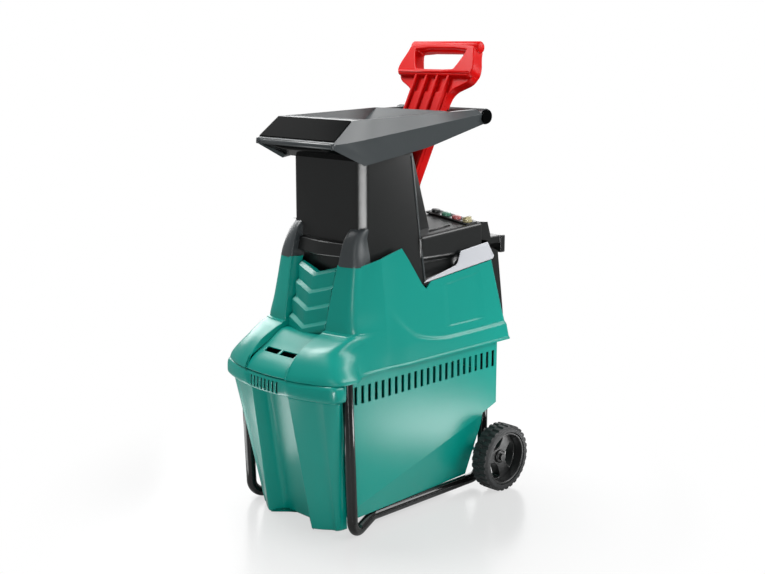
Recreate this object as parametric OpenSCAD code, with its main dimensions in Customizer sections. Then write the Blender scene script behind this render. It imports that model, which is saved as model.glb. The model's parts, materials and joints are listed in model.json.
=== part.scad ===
// Garden shredder: hopper and feed chute over a geared cutting drum,
// on a bent-tube stand with two wheels and a pull-out collection box.
// Pieces are laid out on the bench with X across, Y from front to back, Z up from the ground
// and Y = 0 near the front legs; at_origin() then centres the whole footprint on the origin.

/* [Stand] */
// Height of the parting plane between collection box and housing
part_z = 332; // [325:1:345]
// Outside diameter of the frame tube
tube_d = 22; // [20:0.5:23]
// Wall of the frame tube
tube_wall = 1.6; // [1.2:0.1:2.4]
// Clearance between the box and each front leg
leg_gap = 4; // [3:0.5:7]
// Depth of the top of the front legs
leg_top_y = -13; // [-15:0.5:-12]
// Lean of the front legs, foot to the rear
leg_lean = 2.3; // [1:0.1:3]
// Bend radius at the foot, on the tube's centre line
foot_bend_r = 30; // [26:1:34]
// Turn of the foot towards the centre plane
foot_splay = 20; // [18:0.5:24]
// Rise of the tube behind the foot
foot_rise = 8.5; // [7:0.25:9]
// Depth of the flat on the underside of the foot
foot_flat = 0.5; // [0.3:0.1:1]
// Bend radius where the tube turns along the box
rail_bend_r = 40; // [30:1:60]
// Clearance between the box's side wings and the rear legs
wing_gap = 2.5; // [1.5:0.5:6]
// Clearance between the box's rear wall and the rear legs
rear_gap = 8; // [6:0.5:11]
// Bend radius from rail to rear leg
rear_bend_r = 40; // [30:1:45]
// Length of the chassis spigots inside the tubes
spigot_l = 24; // [15:1:35]

/* [Wheels] */
// Tyre diameter
wheel_d = 150; // [140:1:156]
// Tyre width
wheel_w = 44; // [36:1:46]
// Clearance between the box and each tyre
wheel_gap = 15; // [13:1:23]
// Axle diameter
axle_d = 10; // [8:0.5:12]
// Radial thickness of the tyre
tyre_t = 15; // [11:1:18]
// Height of the tread blocks
tread_h = 3; // [2:0.5:4]
// Tread blocks round each row
tread_blocks = 30; // [20:1:36]
// Wheel hub diameter
hub_d = 28; // [22:1:34]
// Depth of the hub's end behind the tyre's outer face
hub_recess = 17; // [14:1:20]
// Thickness of the push-on axle cap
cap_t = 5; // [3:0.5:7]
// Spokes in each wheel
spokes = 3; // [3:1:6]
// Running clearance of wheel and gear bores, on the radius
run_c = 0.05; // [0.03:0.01:0.1]

/* [Collection box] */
// Width of the box between the front legs
box_w = 296; // [288:1:297]
// Wall of the box
box_wall = 2.5; // [2:0.1:3.5]
// Clearance between separate mouldings
gap = 0.4; // [0.3:0.05:0.5]
// Depth of the rear wall at the floor
box_rear_low_y = 383; // [370:1:385]
// Depth of the rear wall above the sloping part
box_rear_y = 414; // [405:1:416]
// Height where the rear wall turns upright
box_rear_z = 150; // [130:1:170]
// Depth of the rear end of the side wings
wing_y = 460; // [452:1:464]
// Height of the front columns' feet above the ground
nose_z = 3; // [2:0.5:8]
// Height of the rolled front lip
lip_h = 36; // [30:1:42]
// Overhang of the lip in front of the columns
lip_over = 9; // [6:0.5:12]
// Depth of the lip's apex
front_y = -95; // [-98:1:-92]
// Radius of the lip in plan
front_r = 389; // [370:1:410]
// Overlap of the lip past the outer side of each front leg
lip_past = 1; // [0:0.5:4]
// Side vent slots
vents = 23; // [16:1:23]
// Spacing of the vent slots
vent_pitch = 19.2; // [18:0.1:19.2]
// Width of a vent slot
vent_w = 8; // [6:0.5:9]
// Height of a vent slot
vent_h = 37; // [30:1:40]
// Depth of the first vent slot
vent_y = 20; // [18:1:24]
// Grip slots in the lip
grip_slots = 8; // [6:1:10]
// Travel of the box when it is pulled out
box_travel = 420; // [300:5:430]

/* [Housing] */
// Wall of the housing mouldings
shell = 3; // [2.5:0.1:3.5]
// Overhang of the housing's belt past each side of the box
belt_over = 2; // [1:0.5:5]
// Height of the shoulder in front of the pillars
shoulder_z = 387; // [384:1:392]
// Height of the foot of the pillars
pillar_z = 415; // [412:1:420]
// Height of the pillars' caps above the ground
pillar_top_z = 548; // [544:1:552]
// Half width of the front channel
channel_half_w = 62; // [60:1:64]
// Lean of the front channel
channel_lean = 15; // [14.5:0.1:15.5]
// Thickness of the chassis plate
chassis_t = 8; // [6:0.5:10]

/* [Lock slide] */
// Half width of the lock slide
slide_half_w = 56; // [54:0.5:58]
// Steps on the lock slide
slide_steps = 4; // [3:1:4]
// Spacing of the steps
step_pitch = 35.4; // [33:0.2:36]
// Height of the bevel above each step
step_bevel = 7; // [5:0.5:8]
// Travel of the lock slide
slide_travel = 18; // [12:1:19]

/* [Chute and hopper] */
// Half width of the feed chute
chute_half_w = 110; // [108:0.5:111]
// Depth of the chute's front wall
chute_y = 80; // [79:0.5:82]
// Corner radius of the chute's front
chute_r = 20; // [12:1:26]
// Height of the chute's top rim
chute_top_z = 764; // [758:1:768]
// Half width of the hopper's ridge
ridge_half_w = 112; // [110:1:114]
// Half width of the hopper at its keel
keel_half_w = 132; // [128:1:134]
// Height of the ridge at the front
ridge_z = 839; // [836:1:842]
// Diameter of the rear handle bar
bar_d = 34; // [30:1:35]
// Depth of the handle bar
bar_y = 430; // [428:1:436]
// Height of the handle bar
bar_z = 832; // [829:1:834]

/* [Pusher] */
// Lean of the pusher to the rear
pusher_lean = 27; // [26:0.25:28]
// Length of the pusher from foot to grip
pusher_l = 350; // [330:1:360]
// Half width of the pusher's stem
stem_half_w = 55; // [48:0.5:57]
// Thickness of the pusher's stem
stem_t = 16; // [12:0.5:17]
// Diameter of the pusher's grip
pusher_grip_d = 24; // [20:0.5:28]
// Half width of the pusher's handle
pusher_half_w = 98; // [90:1:102]
// Travel of the pusher out of its holder
pusher_travel = 200; // [100:5:250]

/* [Cutting unit] */
// Drum diameter over the teeth
drum_d = 104; // [100:1:105]
// Drum length
drum_l = 110; // [100:1:112]
// Cutting teeth round the drum
drum_teeth = 8; // [6:1:12]
// Distance of the drum's axis from the centre plane
drum_x = 20; // [18:1:22]
// Height of the drum's axis
drum_z = 405; // [404:1:408]
// Drum shaft diameter
drum_shaft_d = 25; // [22:1:28]
// Teeth of each pinion
pinion_teeth = 12; // [12:1:14]
// Teeth of each wheel of the reduction
wheel_teeth = 48; // [46:1:48]
// Tooth module of the drum stage
drum_module = 2.25; // [2.2:0.05:2.3]
// Tooth module of the motor stage
motor_module = 1.5; // [1.45:0.05:1.5]
// Height of the motor's axis above the drum's axis
motor_rise = 60; // [58:1:62]
// Motor case diameter
motor_d = 124; // [116:1:126]
// Motor case length
motor_l = 118; // [110:1:124]
// Motor shaft diameter
motor_shaft_d = 15; // [14:0.5:16]
// Travel of the counter plate
plate_travel = 4; // [2:0.5:5]
// Diameter of the adjusting knob
knob_d = 52; // [44:1:60]

/* [Controls] */
// Push button diameter
button_d = 20; // [16:0.5:22]
// Travel of the push buttons
button_travel = 3; // [2:0.5:4]
// Spacing of the controls
control_pitch = 31; // [30:0.5:33]

/* [Hidden] */
$fn = 48;
over = 1;
tube_id = tube_d - 2 * tube_wall;
half_w = box_w / 2;
leg_x = half_w + leg_gap + tube_d / 2;
rail_x = half_w - box_wall - wing_gap - tube_d / 2;
wheel_out_x = half_w + wheel_gap + wheel_w;
axle_y = box_rear_y + rear_gap + tube_d / 2;
lip_half_w = leg_x + tube_d / 2 + lip_past;
belt_half_w = half_w + belt_over;
rear_y = axle_y + wheel_d / 2;
mid_y = (front_y + rear_y) / 2;

function unit(v) = v / norm(v);
function mirrored(pts) = [for (i = [len(pts) - 1 : -1 : 0]) [-pts[i].x, pts[i].y]];
function both(pts) = concat(pts, mirrored(pts));
function lerp(a, b, t) = a + (b - a) * t;
// Points of the arc that rounds corner q of the outline p, q, s
function corner_arc(p, q, s, r, n) =
    let (u = unit(p - q), w = unit(s - q), half = acos(u * w) / 2)
    let (c = q + unit(u + w) * r / sin(half), a = q + u * r / tan(half) - c)
    let (a0 = atan2(a.y, a.x), turn = (180 - 2 * half) * sign(cross(q - p, s - q)))
    [for (i = [0 : n]) c + r * [cos(a0 + turn * i / n), sin(a0 + turn * i / n)]];
// Outline with one radius for each of its corners
function rounded(pts, radii, n = 5) = [
    for (i = [0 : len(pts) - 1])
        each radii[i] == 0 ? [pts[i]]
            : corner_arc(pts[(i + len(pts) - 1) % len(pts)], pts[i], pts[(i + 1) % len(pts)], radii[i], n)
];

// Frame path, right side: leg, foot, run to the rail
leg_top = [leg_x, leg_top_y, part_z];
leg_dir = [0, sin(leg_lean), -cos(leg_lean)];
run_dir = [-sin(foot_splay) * cos(foot_rise), cos(foot_splay) * cos(foot_rise), sin(foot_rise)];
foot_turn = acos(leg_dir * run_dir);
foot_in = unit(run_dir - leg_dir * (run_dir * leg_dir));
foot_sag = foot_bend_r * (foot_in.z - tan(foot_turn / 2) * leg_dir.z - norm([leg_dir.z, foot_in.z]));
foot_z = tube_d / 2 - foot_flat - foot_sag;
foot = leg_top + leg_dir * (part_z - foot_z) / cos(leg_lean);
run_l = (leg_x - rail_x) / (sin(foot_splay) * cos(foot_rise));
rail_corner = foot + run_dir * run_l;
rail_z = rail_corner.z;
rail_y = rail_corner.y + rail_bend_r * tan(acos(run_dir.y) / 2) + 2;
rail_end_y = axle_y - rear_bend_r - 2;
leg_path = [leg_top, foot, rail_corner, [rail_x, rail_y, rail_z]];
leg_bends = [0, foot_bend_r, rail_bend_r, 0];
rear_path = [[rail_x, rail_end_y, rail_z], [rail_x, axle_y, rail_z], [rail_x, axle_y, part_z]];
rear_bends = [0, rear_bend_r, 0];

// Wheels
axle_z = wheel_d / 2;
tyre_id = wheel_d - 2 * tyre_t;
wheel_in_x = wheel_out_x - wheel_w;
hub_in_x = rail_x + tube_d / 2 + gap;
hub_out_x = wheel_out_x - hub_recess;
axle_end_x = hub_out_x + gap + cap_t;

// Collection box
floor_z = rail_z + tube_d / 2 + gap;
box_top_z = part_z - gap;
lip_z = box_top_z - lip_h;
lip_back_y = leg_top_y - tube_d / 2 - 3;
nose_back_y = 22;
rake = (nose_back_y - lip_back_y) / (lip_z - nose_z);
function nose_back(z) = lip_back_y + rake * (lip_z - min(z, lip_z));
front_c = [0, front_y + front_r];
leg_corner = 10;

// Housing
chassis_z = part_z + gap;
chassis_top_z = chassis_z + chassis_t;
rear_slope = 0.286;
function housing_rear(z) = 497 - rear_slope * (z - part_z);
channel_floor = [17.5, 403.6];
channel_floor_slope = 0.497;
slide_bottom = [31.5, channel_floor.y + gap];

// Chute
chute_low_z = 489;
rib_top_y = 219;
rib_low_y = 236;
chute_low_half_w = 136;
function rib_y(z) = rib_top_y + (rib_low_y - rib_top_y) * (chute_top_z - z) / (chute_top_z - chute_low_z);
function chute_back(z) = 259 + 0.319 * (705 - z);
chute_back_half_w = 94;

// Pusher axis
pusher_dir = [0, sin(pusher_lean), cos(pusher_lean)];
pusher_foot = [0, 285.5, 665];

// Gear train, axes along Y
drum_y = 88;
frame_y = 74;
frame_wall = 10;
frame_back_y = drum_y + drum_l + 4 + frame_wall;
gear_case_y = frame_back_y + gap;
gear_case_l = 58;
gear_wall = 5;
drum_gear_y = gear_case_y + gear_wall + 4;
drum_gear_w = 16;
motor_gear_y = drum_gear_y + drum_gear_w + 6;
motor_gear_w = 12;
motor_y = gear_case_y + gear_case_l + gap;
lay_distance = (pinion_teeth + wheel_teeth) / 2 * drum_module;
motor_distance = (pinion_teeth + wheel_teeth) / 2 * motor_module;
drum_axis = [drum_x, drum_z];
motor_axis = [drum_x, drum_z + motor_rise];
lay_angle = 90 + acos((lay_distance ^ 2 + motor_rise ^ 2 - motor_distance ^ 2) / (2 * lay_distance * motor_rise));
lay_axis = drum_axis + lay_distance * [cos(lay_angle), sin(lay_angle)];
lay_to_motor = atan2(motor_axis.y - lay_axis.y, motor_axis.x - lay_axis.x);
lay_shaft_d = 14;
bearing_w = 10;
bearing_t = 9;

// Counter plate and its adjusting screw
plate_gap = 0.8;
plate_t = 12;
plate_h = 56;
plate_x = drum_x - drum_d / 2 - plate_gap - plate_t;
plate_y = drum_y + 2;
plate_l = drum_l - 4;
screw_d = 12;
screw_y = drum_y + drum_l / 2;
knob_gap = 7;
knob_x = -(belt_half_w + knob_gap);
knob_l = 26;

// Lid and control panel
lid_front_y = 226;
lid_seam_y = 407;
lid_half_w = belt_half_w - 6;
lid_top_front_z = 590;
lid_top_rear_z = 607;
lid_slope = atan2(lid_top_rear_z - lid_top_front_z, lid_seam_y - lid_front_y);
panel_at = [lid_half_w - 70, lid_seam_y - 23, 612];
panel_roll = 7.8;
panel_t = 3;
panel_edge = 4;
panel_w = 3 * control_pitch + button_d + 2 * panel_edge;
panel_l = button_d + 4 * panel_edge;
controls = [for (i = [0 : 3]) (i - 1.5) * control_pitch];

black = "#202323";
green = "#009688";
grey = "#4b5052";
red = "#c80f14";
steel = "#b9bcc0";

// Moves a piece from the bench to its place about the origin
module at_origin() { translate([0, -mid_y, 0]) children(); }
// Mirror image on the other side of the centre plane
module left() { mirror([1, 0, 0]) children(); }
module each_side() { children(); left() children(); }
// Stands +Z on the line from a to b
module aim(a, b) {
    d = b - a;
    translate(a) rotate([0, acos(d.z / norm(d)), atan2(d.y, d.x)]) children();
}
module rod(a, b, d) { aim(a, b) cylinder(h = norm(b - a), d = d); }
// Bar from x0 to x1 along X, in the plane of y and z
module along_x(x0, x1, y, z, d) { translate([x0, y, z]) rotate([0, 90, 0]) cylinder(h = x1 - x0, d = d); }
// Bar from y0 to y1 along Y
module along_y(y0, y1, at, d) { translate([at.x, y0, at.y]) rotate([-90, 0, 0]) cylinder(h = y1 - y0, d = d); }
// Outline drawn in Y and Z, thickened from x0 to x1
module slab_x(x0, x1, pts) {
    translate([x0, 0, 0]) rotate([90, 0, 90]) linear_extrude(x1 - x0) polygon(pts);
}
// Outline drawn in X and Z, thickened from y0 to y1
module slab_y(y0, y1, pts) { translate([0, y1, 0]) rotate([90, 0, 0]) linear_extrude(y1 - y0) polygon(pts); }
// Outline drawn in X and Y, thickened from z0 to z1
module slab_z(z0, z1, pts) { translate([0, 0, z0]) linear_extrude(z1 - z0) polygon(pts); }
module block(a, b) { translate(a) cube(b - a); }
// Thin slab of an outline at height z, for lofting
module level(z, pts) { translate([0, 0, z]) linear_extrude(0.1) polygon(pts); }

// Round bend of a tube at corner q of the path p, q, s
module bend(p, q, s, r, d) {
    u = unit(q - p);
    w = unit(s - q);
    turn = acos(u * w);
    n = unit(w - u * (w * u));
    z = cross(-n, u);
    c = q - u * r * tan(turn / 2) + n * r;
    multmatrix([[-n.x, u.x, z.x, c.x], [-n.y, u.y, z.y, c.y], [-n.z, u.z, z.z, c.z], [0, 0, 0, 1]])
        rotate_extrude(angle = turn) translate([r, 0]) circle(d = d);
}
function tangent(p, q, s, r) = r * tan(acos(unit(q - p) * unit(s - q)) / 2);
// Solid rod along a path with rounded corners, longer than the path by past at both ends
module path_rod(pts, radii, d, past = 0) {
    last = len(pts) - 1;
    lap = 0.02;
    for (i = [0 : last - 1]) {
        u = unit(pts[i + 1] - pts[i]);
        a = i == 0 ? pts[0] - u * past : pts[i] + u * (tangent(pts[i - 1], pts[i], pts[i + 1], radii[i]) - lap);
        b = i == last - 1 ? pts[last] + u * past
            : pts[i + 1] - u * (tangent(pts[i], pts[i + 1], pts[i + 2], radii[i + 1]) - lap);
        rod(a, b, d);
    }
    for (i = [1 : last - 1]) bend(pts[i - 1], pts[i], pts[i + 1], radii[i], d);
}
module bent_tube(pts, radii) {
    difference() {
        path_rod(pts, radii, tube_d);
        path_rod(pts, radii, tube_id, over);
    }
}

module front_leg() {
    color(black) at_origin() difference() {
        bent_tube(leg_path, leg_bends);
        translate([0, -500, -20]) cube([400, 1000, 20]);
    }
}
module front_leg_right() { front_leg(); }
module front_leg_left() { left() front_leg(); }

module lower_rail() {
    color(black) at_origin() difference() {
        along_y(rail_y, rail_end_y, [rail_x, rail_z], tube_d);
        along_y(rail_y - over, rail_end_y + over, [rail_x, rail_z], tube_id);
    }
}
module lower_rail_right() { lower_rail(); }
module lower_rail_left() { left() lower_rail(); }

module rear_leg() {
    color(black) at_origin() difference() {
        bent_tube(rear_path, rear_bends);
        along_x(rail_x - tube_d, rail_x + tube_d, axle_y, axle_z, axle_d + 2 * run_c);
    }
}
module rear_leg_right() { rear_leg(); }
module rear_leg_left() { left() rear_leg(); }

module axle() { color(steel) at_origin() along_x(-axle_end_x + 1, axle_end_x - 1, axle_y, axle_z, axle_d); }

module axle_caps() {
    color(steel) at_origin() each_side() difference() {
        along_x(hub_out_x + gap, axle_end_x, axle_y, axle_z, axle_d + 6);
        along_x(hub_out_x, axle_end_x - 1, axle_y, axle_z, axle_d);
    }
}

// One spoke, drawn in the wheel's own plane, running from hub to rim
module spoke_2d(rim_r) {
    polygon([[0, -hub_d / 2 + 2], [rim_r, -hub_d / 2 - 2], [rim_r, hub_d / 2 + 2], [0, hub_d / 2 - 2]]);
}
module wheel() {
    rim_r = tyre_id / 2 - run_c;
    rim_in_r = rim_r - 6;
    web_x = wheel_in_x + wheel_w / 2 - 6;
    color(black) at_origin() difference() {
        union() {
            difference() {
                along_x(wheel_in_x + 2, wheel_out_x - 1.5, axle_y, axle_z, 2 * rim_r);
                along_x(wheel_in_x, wheel_out_x, axle_y, axle_z, 2 * rim_in_r);
            }
            along_x(hub_in_x, hub_out_x, axle_y, axle_z, hub_d);
            translate([web_x, axle_y, axle_z]) rotate([90, 0, 90]) linear_extrude(9)
                for (i = [0 : spokes - 1]) rotate(20 + 360 / spokes * i) spoke_2d(rim_in_r + 2);
        }
        along_x(hub_in_x - over, wheel_out_x, axle_y, axle_z, axle_d + 2 * run_c);
    }
}
module wheel_right() { wheel(); }
module wheel_left() { left() wheel(); }

// Row of tread blocks as a toothed ring
function tread_ring(r, turn) = [
    for (i = [0 : tread_blocks - 1]) let (a = 360 / tread_blocks)
        for (k = [[0.05, -0.5], [0.2, tread_h], [0.65, tread_h], [0.8, -0.5]])
            (r + k[1]) * [cos(a * (i + k[0]) + turn), sin(a * (i + k[0]) + turn)]
];
module tyre() {
    r = wheel_d / 2;
    base_r = r - tread_h;
    row_w = wheel_w * 0.4;
    soft_edge = 4;
    color(black) at_origin() difference() {
        union() {
            translate([wheel_in_x, axle_y, axle_z]) rotate([90, 0, 90]) rotate_extrude() polygon([
                [tyre_id / 2, 0], [base_r - soft_edge, 0], [base_r, soft_edge],
                [base_r, wheel_w - soft_edge], [base_r - soft_edge, wheel_w], [tyre_id / 2, wheel_w]]);
            for (side = [0, 1])
                translate([wheel_in_x + soft_edge + side * (wheel_w - 2 * soft_edge - row_w), axle_y, axle_z])
                    rotate([90, 0, 90]) linear_extrude(row_w)
                        polygon(tread_ring(base_r, side * 180 / tread_blocks));
        }
        along_x(wheel_in_x - over, wheel_out_x + over, axle_y, axle_z, tyre_id);
    }
}
module tyre_right() { tyre(); }
module tyre_left() { left() tyre(); }

// Plan outline of the box's lip or nose, drawn in by inset all round
function lip_plan(inset, corner = 0) =
    let (r = front_r - inset, w = lip_half_w - inset, back = lip_back_y - max(0, inset - lip_over))
    let (edge = acos((w - 26) / r), n = 12)
    let (arc = [for (i = [0 : n]) front_c + r * [cos(180 + edge + (180 - 2 * edge) * i / n),
                                               sin(180 + edge + (180 - 2 * edge) * i / n)]])
    let (turn_y = front_c.y - r * sin(edge))
    let (ends = corner == 0 ? [[w, back]] : [[w, back - corner / 2], [w - corner, back]])
    concat(mirrored(ends), [[-w, turn_y + 22]], arc, [[w, turn_y + 22]], ends);
function nose_foot(inset) = let (i = inset * 1.05)
    both([[half_w - 26 - i, nose_back_y - inset], [half_w - 38 - i, -9 + i], [67 - i / 2, -28 + i]]);
module nose(inset) {
    hull() {
        level(lip_z + 1 + inset, lip_plan(lip_over + inset, leg_corner));
        level(nose_z + inset, nose_foot(inset));
    }
}
// Shallow upright flute in the middle of the front
module flute(grow) {
    hull() {
        level(lip_z - 4 + grow, both([[54 + grow, front_y - 20], [54 + grow, -75 + grow], [30, -64 + grow]]));
        level(nose_z - 2, both([[67 + grow, front_y - 20], [67 + grow, -29 + grow], [38, -10 + grow]]));
    }
}
// Side profile of the box, drawn in by inset
function box_profile(inset, top) = [
    [nose_back(floor_z) - 4 + inset, floor_z + inset], [box_rear_low_y - inset, floor_z + inset],
    [box_rear_y - inset, box_rear_z], [box_rear_y - inset, top],
    [lip_back_y - 4 + inset, top], [lip_back_y - 4 + inset, lip_z]];
// Way between the tapered nose and the box behind it
module nose_way() {
    foot_way = half_w - 32 - box_wall;
    hull() {
        for (y = [-8, 8]) {
            level(lip_z + 6, both([[half_w - box_wall - 2, lip_back_y + y], [half_w - box_wall - 2, lip_back_y + y + 1]]));
            level(floor_z + box_wall, both([[foot_way, nose_back_y + y], [foot_way, nose_back_y + y + 1]]));
        }
    }
    block([-half_w + 4, lip_back_y - 12, lip_z + 4], [half_w - 4, lip_back_y + 8, box_top_z + over]);
}
// Wheel-side recess: everything outside a plane that leans in towards the rear foot of the wall
recess_a = [half_w, 112, 82];
recess_b = [half_w, 399, 166];
recess_c = [half_w - 22, 385, 30];
recess_n = unit(cross(recess_c - recess_a, recess_b - recess_a));
module recess(grow) {
    u = unit(recess_b - recess_a);
    w = cross(recess_n, u);
    p = recess_a + recess_n * grow;
    multmatrix([[u.x, w.x, recess_n.x, p.x], [u.y, w.y, recess_n.y, p.y], [u.z, w.z, recess_n.z, p.z], [0, 0, 0, 1]])
        translate([-400, -600, 0]) cube([1000, 600, 200]);
}
module collection_box() {
    slot_z = part_z - 20 - vent_h;
    grip_w = 4;
    grip_pitch = 9.5;
    wing_low = lerp(recess_a.z, recess_b.z, (box_rear_y - recess_a.y) / (recess_b.y - recess_a.y));
    color(green) at_origin() difference() {
        union() {
            difference() {
                union() {
                    slab_x(-half_w, half_w, box_profile(0, box_top_z));
                    nose(0);
                    slab_z(lip_z, box_top_z, lip_plan(0));
                }
                difference() {
                    slab_x(box_wall - half_w, half_w - box_wall, box_profile(box_wall, box_top_z + over));
                    recess(-box_wall);
                    left() recess(-box_wall);
                }
                difference() {
                    union() {
                        nose(box_wall);
                        slab_z(lip_z + box_wall, box_top_z + over, lip_plan(lip_over + box_wall));
                    }
                    flute(box_wall);
                }
                nose_way();
                flute(0);
                recess(0);
                left() recess(0);
            }
            each_side() slab_x(half_w - box_wall, half_w, [
                [box_rear_y - 6, wing_low], [wing_y, wing_low + 18], [wing_y, box_top_z], [box_rear_y - 6, box_top_z]]);
        }
        for (i = [0 : vents - 1])
            translate([-half_w - over, vent_y + i * vent_pitch, slot_z]) cube([box_w + 2 * over, vent_w, vent_h]);
        for (i = [0 : grip_slots - 1])
            translate([(i - (grip_slots - 1) / 2) * grip_pitch - grip_w / 2, front_y - over, lip_z + 6])
                cube([grip_w, 4, lip_h - 12]);
    }
}

module spigot(top, low) { rod(top, low, tube_id - 2 * run_c); }
module chassis() {
    rear = housing_rear(chassis_top_z) - shell - gap - 4;
    ear = tube_d / 2 + 1;
    edge = half_w - 5;
    color(black) at_origin() difference() {
        union() {
            slab_z(chassis_z, chassis_top_z, both([
                [edge, rear], [edge, 26], [leg_x + 1, leg_top_y + ear], [leg_x + 6, leg_top_y],
                [leg_x + 1, leg_top_y - ear + 2], [edge, leg_top_y - ear]]));
            each_side() {
                spigot(leg_top + leg_dir * spigot_l, leg_top - [0, 0, -over]);
                spigot([rail_x, axle_y, part_z - spigot_l], [rail_x, axle_y, part_z + over]);
            }
        }
        block([drum_x - 60, drum_y - 6, chassis_z - over], [drum_x + 62, drum_y + drum_l + 6, chassis_top_z + over]);
    }
}

// Half width of the housing's ears over the front legs
ear_half_w = leg_x + tube_d / 2 + 4;
// Plan outlines of the housing at rising heights, drawn in by inset
function housing_plan_low(inset) = let (r = front_r - 2 - inset)
    both(concat(
        [[belt_half_w - inset, housing_rear(part_z) - inset], [belt_half_w - inset, 36]],
        [[ear_half_w - inset, 6 - inset], [ear_half_w - inset, -24]],
        [[ear_half_w - 10 - inset, -42 + inset], [ear_half_w - 30 - inset, -59 + inset]],
        [for (x = [117, 84, 46]) [x, front_c.y - sqrt(r ^ 2 - x ^ 2)]]));
function housing_plan_shoulder(inset) = both([
    [belt_half_w - inset, housing_rear(shoulder_z) - inset], [belt_half_w - inset, 36],
    [belt_half_w - 4 - inset, -4 + inset], [belt_half_w - 18 - inset, -26 + inset], [100, -40 + inset], [46, -52 + inset]]);
function housing_plan_pillar(inset) = both([
    [belt_half_w - 3 - inset, housing_rear(pillar_z) - inset], [belt_half_w - 3 - inset, 110],
    [belt_half_w - 22 - inset, 30 + inset], [62 - inset, 18 + inset]]);
function housing_plan_top(inset) = both([
    [belt_half_w - 8 - inset, housing_rear(590) - inset], [belt_half_w - 8 - inset, 200],
    [belt_half_w - 28 - inset, 84], [belt_half_w - 37 - inset, 60 + inset], [76 - inset, 54 + inset]]);
module housing_solid(inset) {
    hull() { level(part_z + gap - inset * over, housing_plan_low(inset)); level(shoulder_z - inset, housing_plan_shoulder(inset)); }
    hull() { level(shoulder_z - inset, housing_plan_shoulder(inset)); level(pillar_z - inset, housing_plan_pillar(inset)); }
    hull() { level(pillar_z - inset, housing_plan_pillar(inset)); level(590, housing_plan_top(inset)); }
}
// Front channel in which the lock slide runs
module channel(grow) {
    rise = 190;
    back = slide_bottom + [grow + gap, 0];
    slab_x(-channel_half_w - grow, channel_half_w + grow, [
        [front_y - 40, channel_floor.y - channel_floor_slope * (channel_floor.x - front_y + 40) - grow],
        channel_floor - [0, grow], [back.x, channel_floor.y - grow],
        back + rise * [tan(channel_lean), 1], [front_y - 40, back.y + rise]]);
}
// Side outline of the green moulding, seen from the right
module housing_outline() {
    slab_x(-250, 250, [
        [front_y - 40, part_z - 20], [front_y - 40, pillar_top_z], [66, pillar_top_z], [164, 576], [219, 495], [232, 483],
        [246, 497], [445, 519], [530, 519], [530, part_z - 20]]);
}
module housing() {
    slot_y = [-54, -42];
    color(green) at_origin() difference() {
        intersection() {
            housing_solid(0);
            housing_outline();
            union() {
                difference() {
                    block([-300, -200, part_z], [300, 600, 700]);
                    housing_solid(shell);
                    block([shell - belt_half_w + 9, 425, chassis_top_z], [belt_half_w - 9 - shell, 600, 700]);
                }
                channel(shell);
            }
        }
        channel(0);
        each_side() block([3, slot_y[0], 340], [46, slot_y[1], 400]);
        along_x(-belt_half_w - over, -100, screw_y, drum_z, screw_d + 4);
    }
}

// Stepped face of the lock slide at one level: a shallow prow in plan
function prow(depth, point) = [
    [-slide_half_w, -depth], [0, -depth - point], [slide_half_w, -depth], [slide_half_w, 0], [-slide_half_w, 0]];
module lock_slide() {
    lean = tan(channel_lean);
    color(green) at_origin() translate([0, slide_bottom.x, slide_bottom.y]) {
        for (i = [0 : slide_steps - 1]) multmatrix([[1, 0, 0, 0], [0, 1, lean, 0], [0, 0, 1, 0]]) {
            flat_h = step_pitch - step_bevel;
            translate([0, 0, i * step_pitch]) linear_extrude(flat_h) polygon(prow(11, 14 - 1.5 * i));
            translate([0, 0, i * step_pitch + flat_h]) linear_extrude(i == slide_steps - 1 ? 3 : step_bevel)
                polygon(prow(5, 8 - 1.2 * i));
        }
    }
}

// Feed duct, drawn in by inset: upright front corners and sides that flare to the rear foot
function chute_plan(half_front, half_rear, rear, inset) =
    let (f = half_front - inset, b = half_rear - inset, r = chute_r - inset)
    rounded([[-b, rear - inset], [-f, chute_y + inset], [f, chute_y + inset], [b, rear - inset]], [0, r, r, 0], 6);
module chute_solid(inset, past = 0) {
    hull() {
        level(chute_low_z - past, chute_plan(chute_half_w, chute_low_half_w, rib_low_y, inset));
        level(chute_top_z + past - 0.1, chute_plan(chute_half_w, chute_half_w, rib_top_y, inset));
    }
}
module chute_front() {
    cap_in = 71;
    cap_out = 117;
    cap = [[chute_y + 1, 622], [76, 620], [57, 593], [47, pillar_top_z], [chute_y + 1, pillar_top_z]];
    cap_core = [[chute_y + 2, 616], [78, 614], [61, 592], [51, pillar_top_z - over], [chute_y + 2, pillar_top_z - over]];
    ramp = [[frame_back_y - 14, chute_low_z], [rib_low_y + 4, chute_low_z + 28]];
    color(black) at_origin() union() {
        difference() {
            chute_solid(0);
            difference() {
                chute_solid(shell, over);
                slab_x(-200, 200, [ramp[0] - [0, 20], ramp[1] - [0, 20], ramp[1] + [0, shell], ramp[0] + [0, shell]]);
            }
            slab_x(-200, 200, [ramp[0] - [0, 20], [rib_low_y + 4, chute_low_z - 20], ramp[1], ramp[0]]);
        }
        each_side() difference() {
            slab_x(cap_in, cap_out, cap);
            slab_x(cap_in + shell, cap_out - shell, cap_core);
        }
        slab_x(-cap_in, cap_in, [[chute_y + 1, 586], [71, 584], [65, 562], [chute_y + 1, 562]]);
    }
}
module chute_rear() {
    w = chute_back_half_w;
    low = 545;
    c = gap / 2;
    color(black) at_origin() difference() {
        slab_x(-w, w, [
            [rib_y(low) + c, low], [chute_back(low), low],
            [chute_back(chute_top_z), chute_top_z], [rib_y(chute_top_z) + c, chute_top_z]]);
        slab_x(shell - w, w - shell, [
            [rib_y(low) - 9, low - over], [chute_back(low - over) - shell, low - over],
            [chute_back(chute_top_z - shell) - shell, chute_top_z - shell], [rib_y(chute_top_z) - 9, chute_top_z - shell]]);
    }
}

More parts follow.
